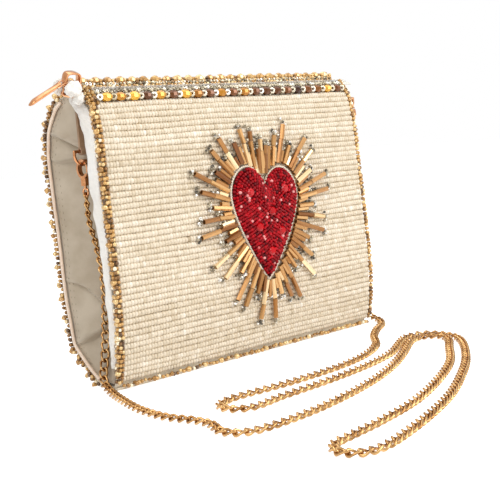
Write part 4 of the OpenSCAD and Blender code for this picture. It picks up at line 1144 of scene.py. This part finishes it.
def rounded(piece, width, angle):
    """Rounds the edges of a piece that turn by more than an angle, in degrees."""
    pick([piece])
    modify("BEVEL", width=width, segments=2, limit_method="ANGLE", angle_limit=radians(angle))
    bpy.ops.object.shade_smooth_by_angle(angle=SMOOTH_BELOW)
    return piece


def plate(outline, z, thick, edge):
    """A flat plate of a given outline, its lower face at z."""
    deselect()
    bpy.ops.mesh.primitive_circle_add(vertices=len(outline), radius=1, fill_type="NGON")
    piece = bpy.context.object
    for v, p in zip(piece.data.vertices, outline):
        v.co = Vector((p[0], p[1], z))
    mode("EDIT")
    bpy.ops.mesh.select_all(action="SELECT")
    draw_out(thick)
    face_outward()
    return rounded(piece, edge, 35)


SLIDER_L, SLIDER_R, SLIDER_GAP, PLATE, RAISED = 9.0, 4.0, 2.4, 1.0, 1.6
SLIDER_X = -SEWN - ZIP_OUT + SLIDER_L / 2 - 2.7
NOSE, UPPER = -SLIDER_L / 2, SLIDER_GAP / 2
PLATE_EDGE, SMALL_EDGE, BRIDGE_EDGE, BRIDGE_W = 0.28, 0.1, 0.35, 4.2
tail = [(SLIDER_L / 4, SLIDER_R), (SLIDER_L / 2 - 0.3, 3.2), (SLIDER_L / 2, 2.6)]
shape = [(NOSE + SLIDER_R - SLIDER_R * cos(g), SLIDER_R * sin(g)) for g in np.linspace(-pi / 2, pi / 2, 15)]
shape += tail + [(x, -y) for x, y in tail[::-1]]
bits = [plate(shape, z, PLATE, PLATE_EDGE) for z in (UPPER, -UPPER - PLATE)]
for sign in SIDES.values():
    rim = [(x, sign * y) for x, y in ((-0.3, 3.1), (2.2, 3.1), (2.2, 3.95), (-0.3, 3.95))]
    bits += [plate(rim, z, 0.7, SMALL_EDGE) for z in (UPPER - 0.55, -UPPER - 0.15)]
post = [(NOSE + x, y) for x, y in ((0.25, -0.5), (1.2, -0.5), (1.2, 0.5), (0.25, 0.5))]
bits.append(plate(post, -UPPER - 0.2, SLIDER_GAP + 0.4, SMALL_EDGE))
arch = smooth([(-3.9, 0.2), (-4.0, 2.2), (-3.8, 4.0), (-2.9, 4.9), (-0.8, 5.1), (1.3, 4.9), (2.9, 4.2),
               (3.6, 2.2), (3.7, 0.2)], 3)
bridge = cloth_grid([[(x, y, UPPER + PLATE + z) for y in (-BRIDGE_W / 2, BRIDGE_W / 2)] for x, z in arch],
                    1.0, offset=0, scale=1)
slider = join_all(bits + [rounded(bridge, BRIDGE_EDGE, 50)])
for v in slider.data.vertices:
    v.co.z += RAISED * (v.co.z > 0.3)
to_zip(slider, "zip_slider", "slider")

EYE_R, EYE_WIRE_R, EYE_STRETCH = 1.85, 0.45, 3.1
PIVOT_X, PIVOT_Z = NOSE + 1 + EYE_WIRE_R + 0.15, UPPER + PLATE + EYE_WIRE_R + 1.2 + RAISED
DROOP = radians(32)
deselect()
new_torus(EYE_R, EYE_WIRE_R, 24, 8)
eye = bpy.context.object
take(lambda v: v.co.x < 0)
bpy.ops.transform.translate(value=(-EYE_STRETCH, 0, 0))
mode("OBJECT")
for v in eye.data.vertices:
    v.co.x -= EYE_R if v.co.x > -1 else 1.2
bar_side = [(-4.3, 0.95), (-4.9, 1.35), (-19.0, 1.6), (-20.2, 1.4), (-20.9, 0.7)]
bar = plate([(x, -y) for x, y in bar_side] + [(-21.0, 0.0)] + bar_side[::-1], -1.35, 2.7, 0.55)
pull = join_all([bar, eye])
for v in pull.data.vertices:
    x, z = v.co.x, v.co.z
    v.co.x = PIVOT_X + x * cos(DROOP) + z * sin(DROOP)
    v.co.z = PIVOT_Z + x * sin(DROOP) + z * cos(DROOP)
bpy.ops.object.shade_smooth_by_angle(angle=SMOOTH_BELOW)
to_zip(pull, "zip_pull", "pull")

# Corners: whip stitches of gold seeds that close each end of the front's top edge
corner_seed = model_seed(2.0, 1.6, all_edges=True)
corner_bead = model_seed(3.4, 2.7, sides=10, bevel=0.42)
for side, sign in SIDES.items():
    seeds, large = Beads(corner_seed), Beads(corner_bead)
    for k in range(7):
        at = (sign * (SEWN - 0.2 + 0.2 * sin(k)), 2.4 - 5.2 * k / 6, 145.2 - 7.4 * k / 6)
        stitch(seeds, at, (sign, 0, 0.25), (-sign * 0.5, -0.8, 0.3), (0, 0.6, 0.8),
               [(-0.4, 1.6), (0.7, 0.7), (1.3, -0.7), (1.0, -2.1)][:3 + k % 2], 0.55)
    large.put((sign * (SEWN + 0.7), -2.2, 137.0), tilted((1, 0.3, 0.3), 0.3), 0.95, 0.7)
    gold_edge("corner_" + side, [seeds, large], "front", [])
for o in models:
    bpy.data.objects.remove(o)


# Floor, backdrop and lights
def seen_rays(tree, *kinds):
    """1 for rays of the given kinds, and 0 for the others."""
    ray = add(tree, "ShaderNodeLightPath")
    seen = ray.outputs[kinds[0]]
    for kind in kinds[1:]:
        seen = add(tree, "ShaderNodeMath", {"operation": "MAXIMUM"}, i0=seen, i1=ray.outputs[kind]).outputs[0]
    return seen


deselect()
bpy.ops.mesh.primitive_plane_add(size=8, location=(0, 0, 0))
floor = bpy.context.object
floor.name = "floor"
m, tree, shader = material("white_paper", Base_Color=colour("#f4f4f4"), Roughness=0.9)
dark = add(tree, "ShaderNodeEmission", {"Strength": 0.0})
glow = add(tree, "ShaderNodeEmission", {"Strength": 0.72, "Color": (1, 1, 1, 1)})
lit = add(tree, "ShaderNodeMixShader", Fac=seen_rays(tree, "Is Camera Ray", "Is Glossy Ray"),
          i1=dark.outputs[0], i2=glow.outputs[0])
both = add(tree, "ShaderNodeAddShader", i0=shader.outputs[0], i1=lit.outputs[0])
tree.links.new(both.outputs[0], tree.nodes["Material Output"].inputs["Surface"])
floor.data.materials.append(m)

world = bpy.data.worlds.new("studio")
bpy.context.scene.world = world
world.use_nodes = True
tree = world.node_tree
back = tree.nodes["Background"]
back.inputs["Color"].default_value = (1, 1, 1, 1)
strength = add(tree, "ShaderNodeMapRange", {"From Min": 0.0, "From Max": 1.0, "To Min": 0.42, "To Max": 1.0},
               Value=seen_rays(tree, "Is Camera Ray", "Is Glossy Ray", "Is Transmission Ray"))
tree.links.new(strength.outputs["Result"], back.inputs["Strength"])

LAMP_AIM = Vector((0, 0, 0.07))
for name, place, size, power in (("key", (0.55, -0.95, 0.75), 0.7, 11), ("fill", (-0.75, -0.3, 0.75), 0.5, 3.6),
                                 ("top", (0.1, 0.2, 1.3), 0.9, 5)):
    lamp = new_object(name, bpy.data.lights.new(name, "AREA"))
    lamp.data.size, lamp.data.energy = size, power
    lamp.location = place
    lamp.rotation_euler = (LAMP_AIM - Vector(place)).to_track_quat("-Z", "Y").to_euler()

bpy.context.scene.view_settings.view_transform = "Standard"
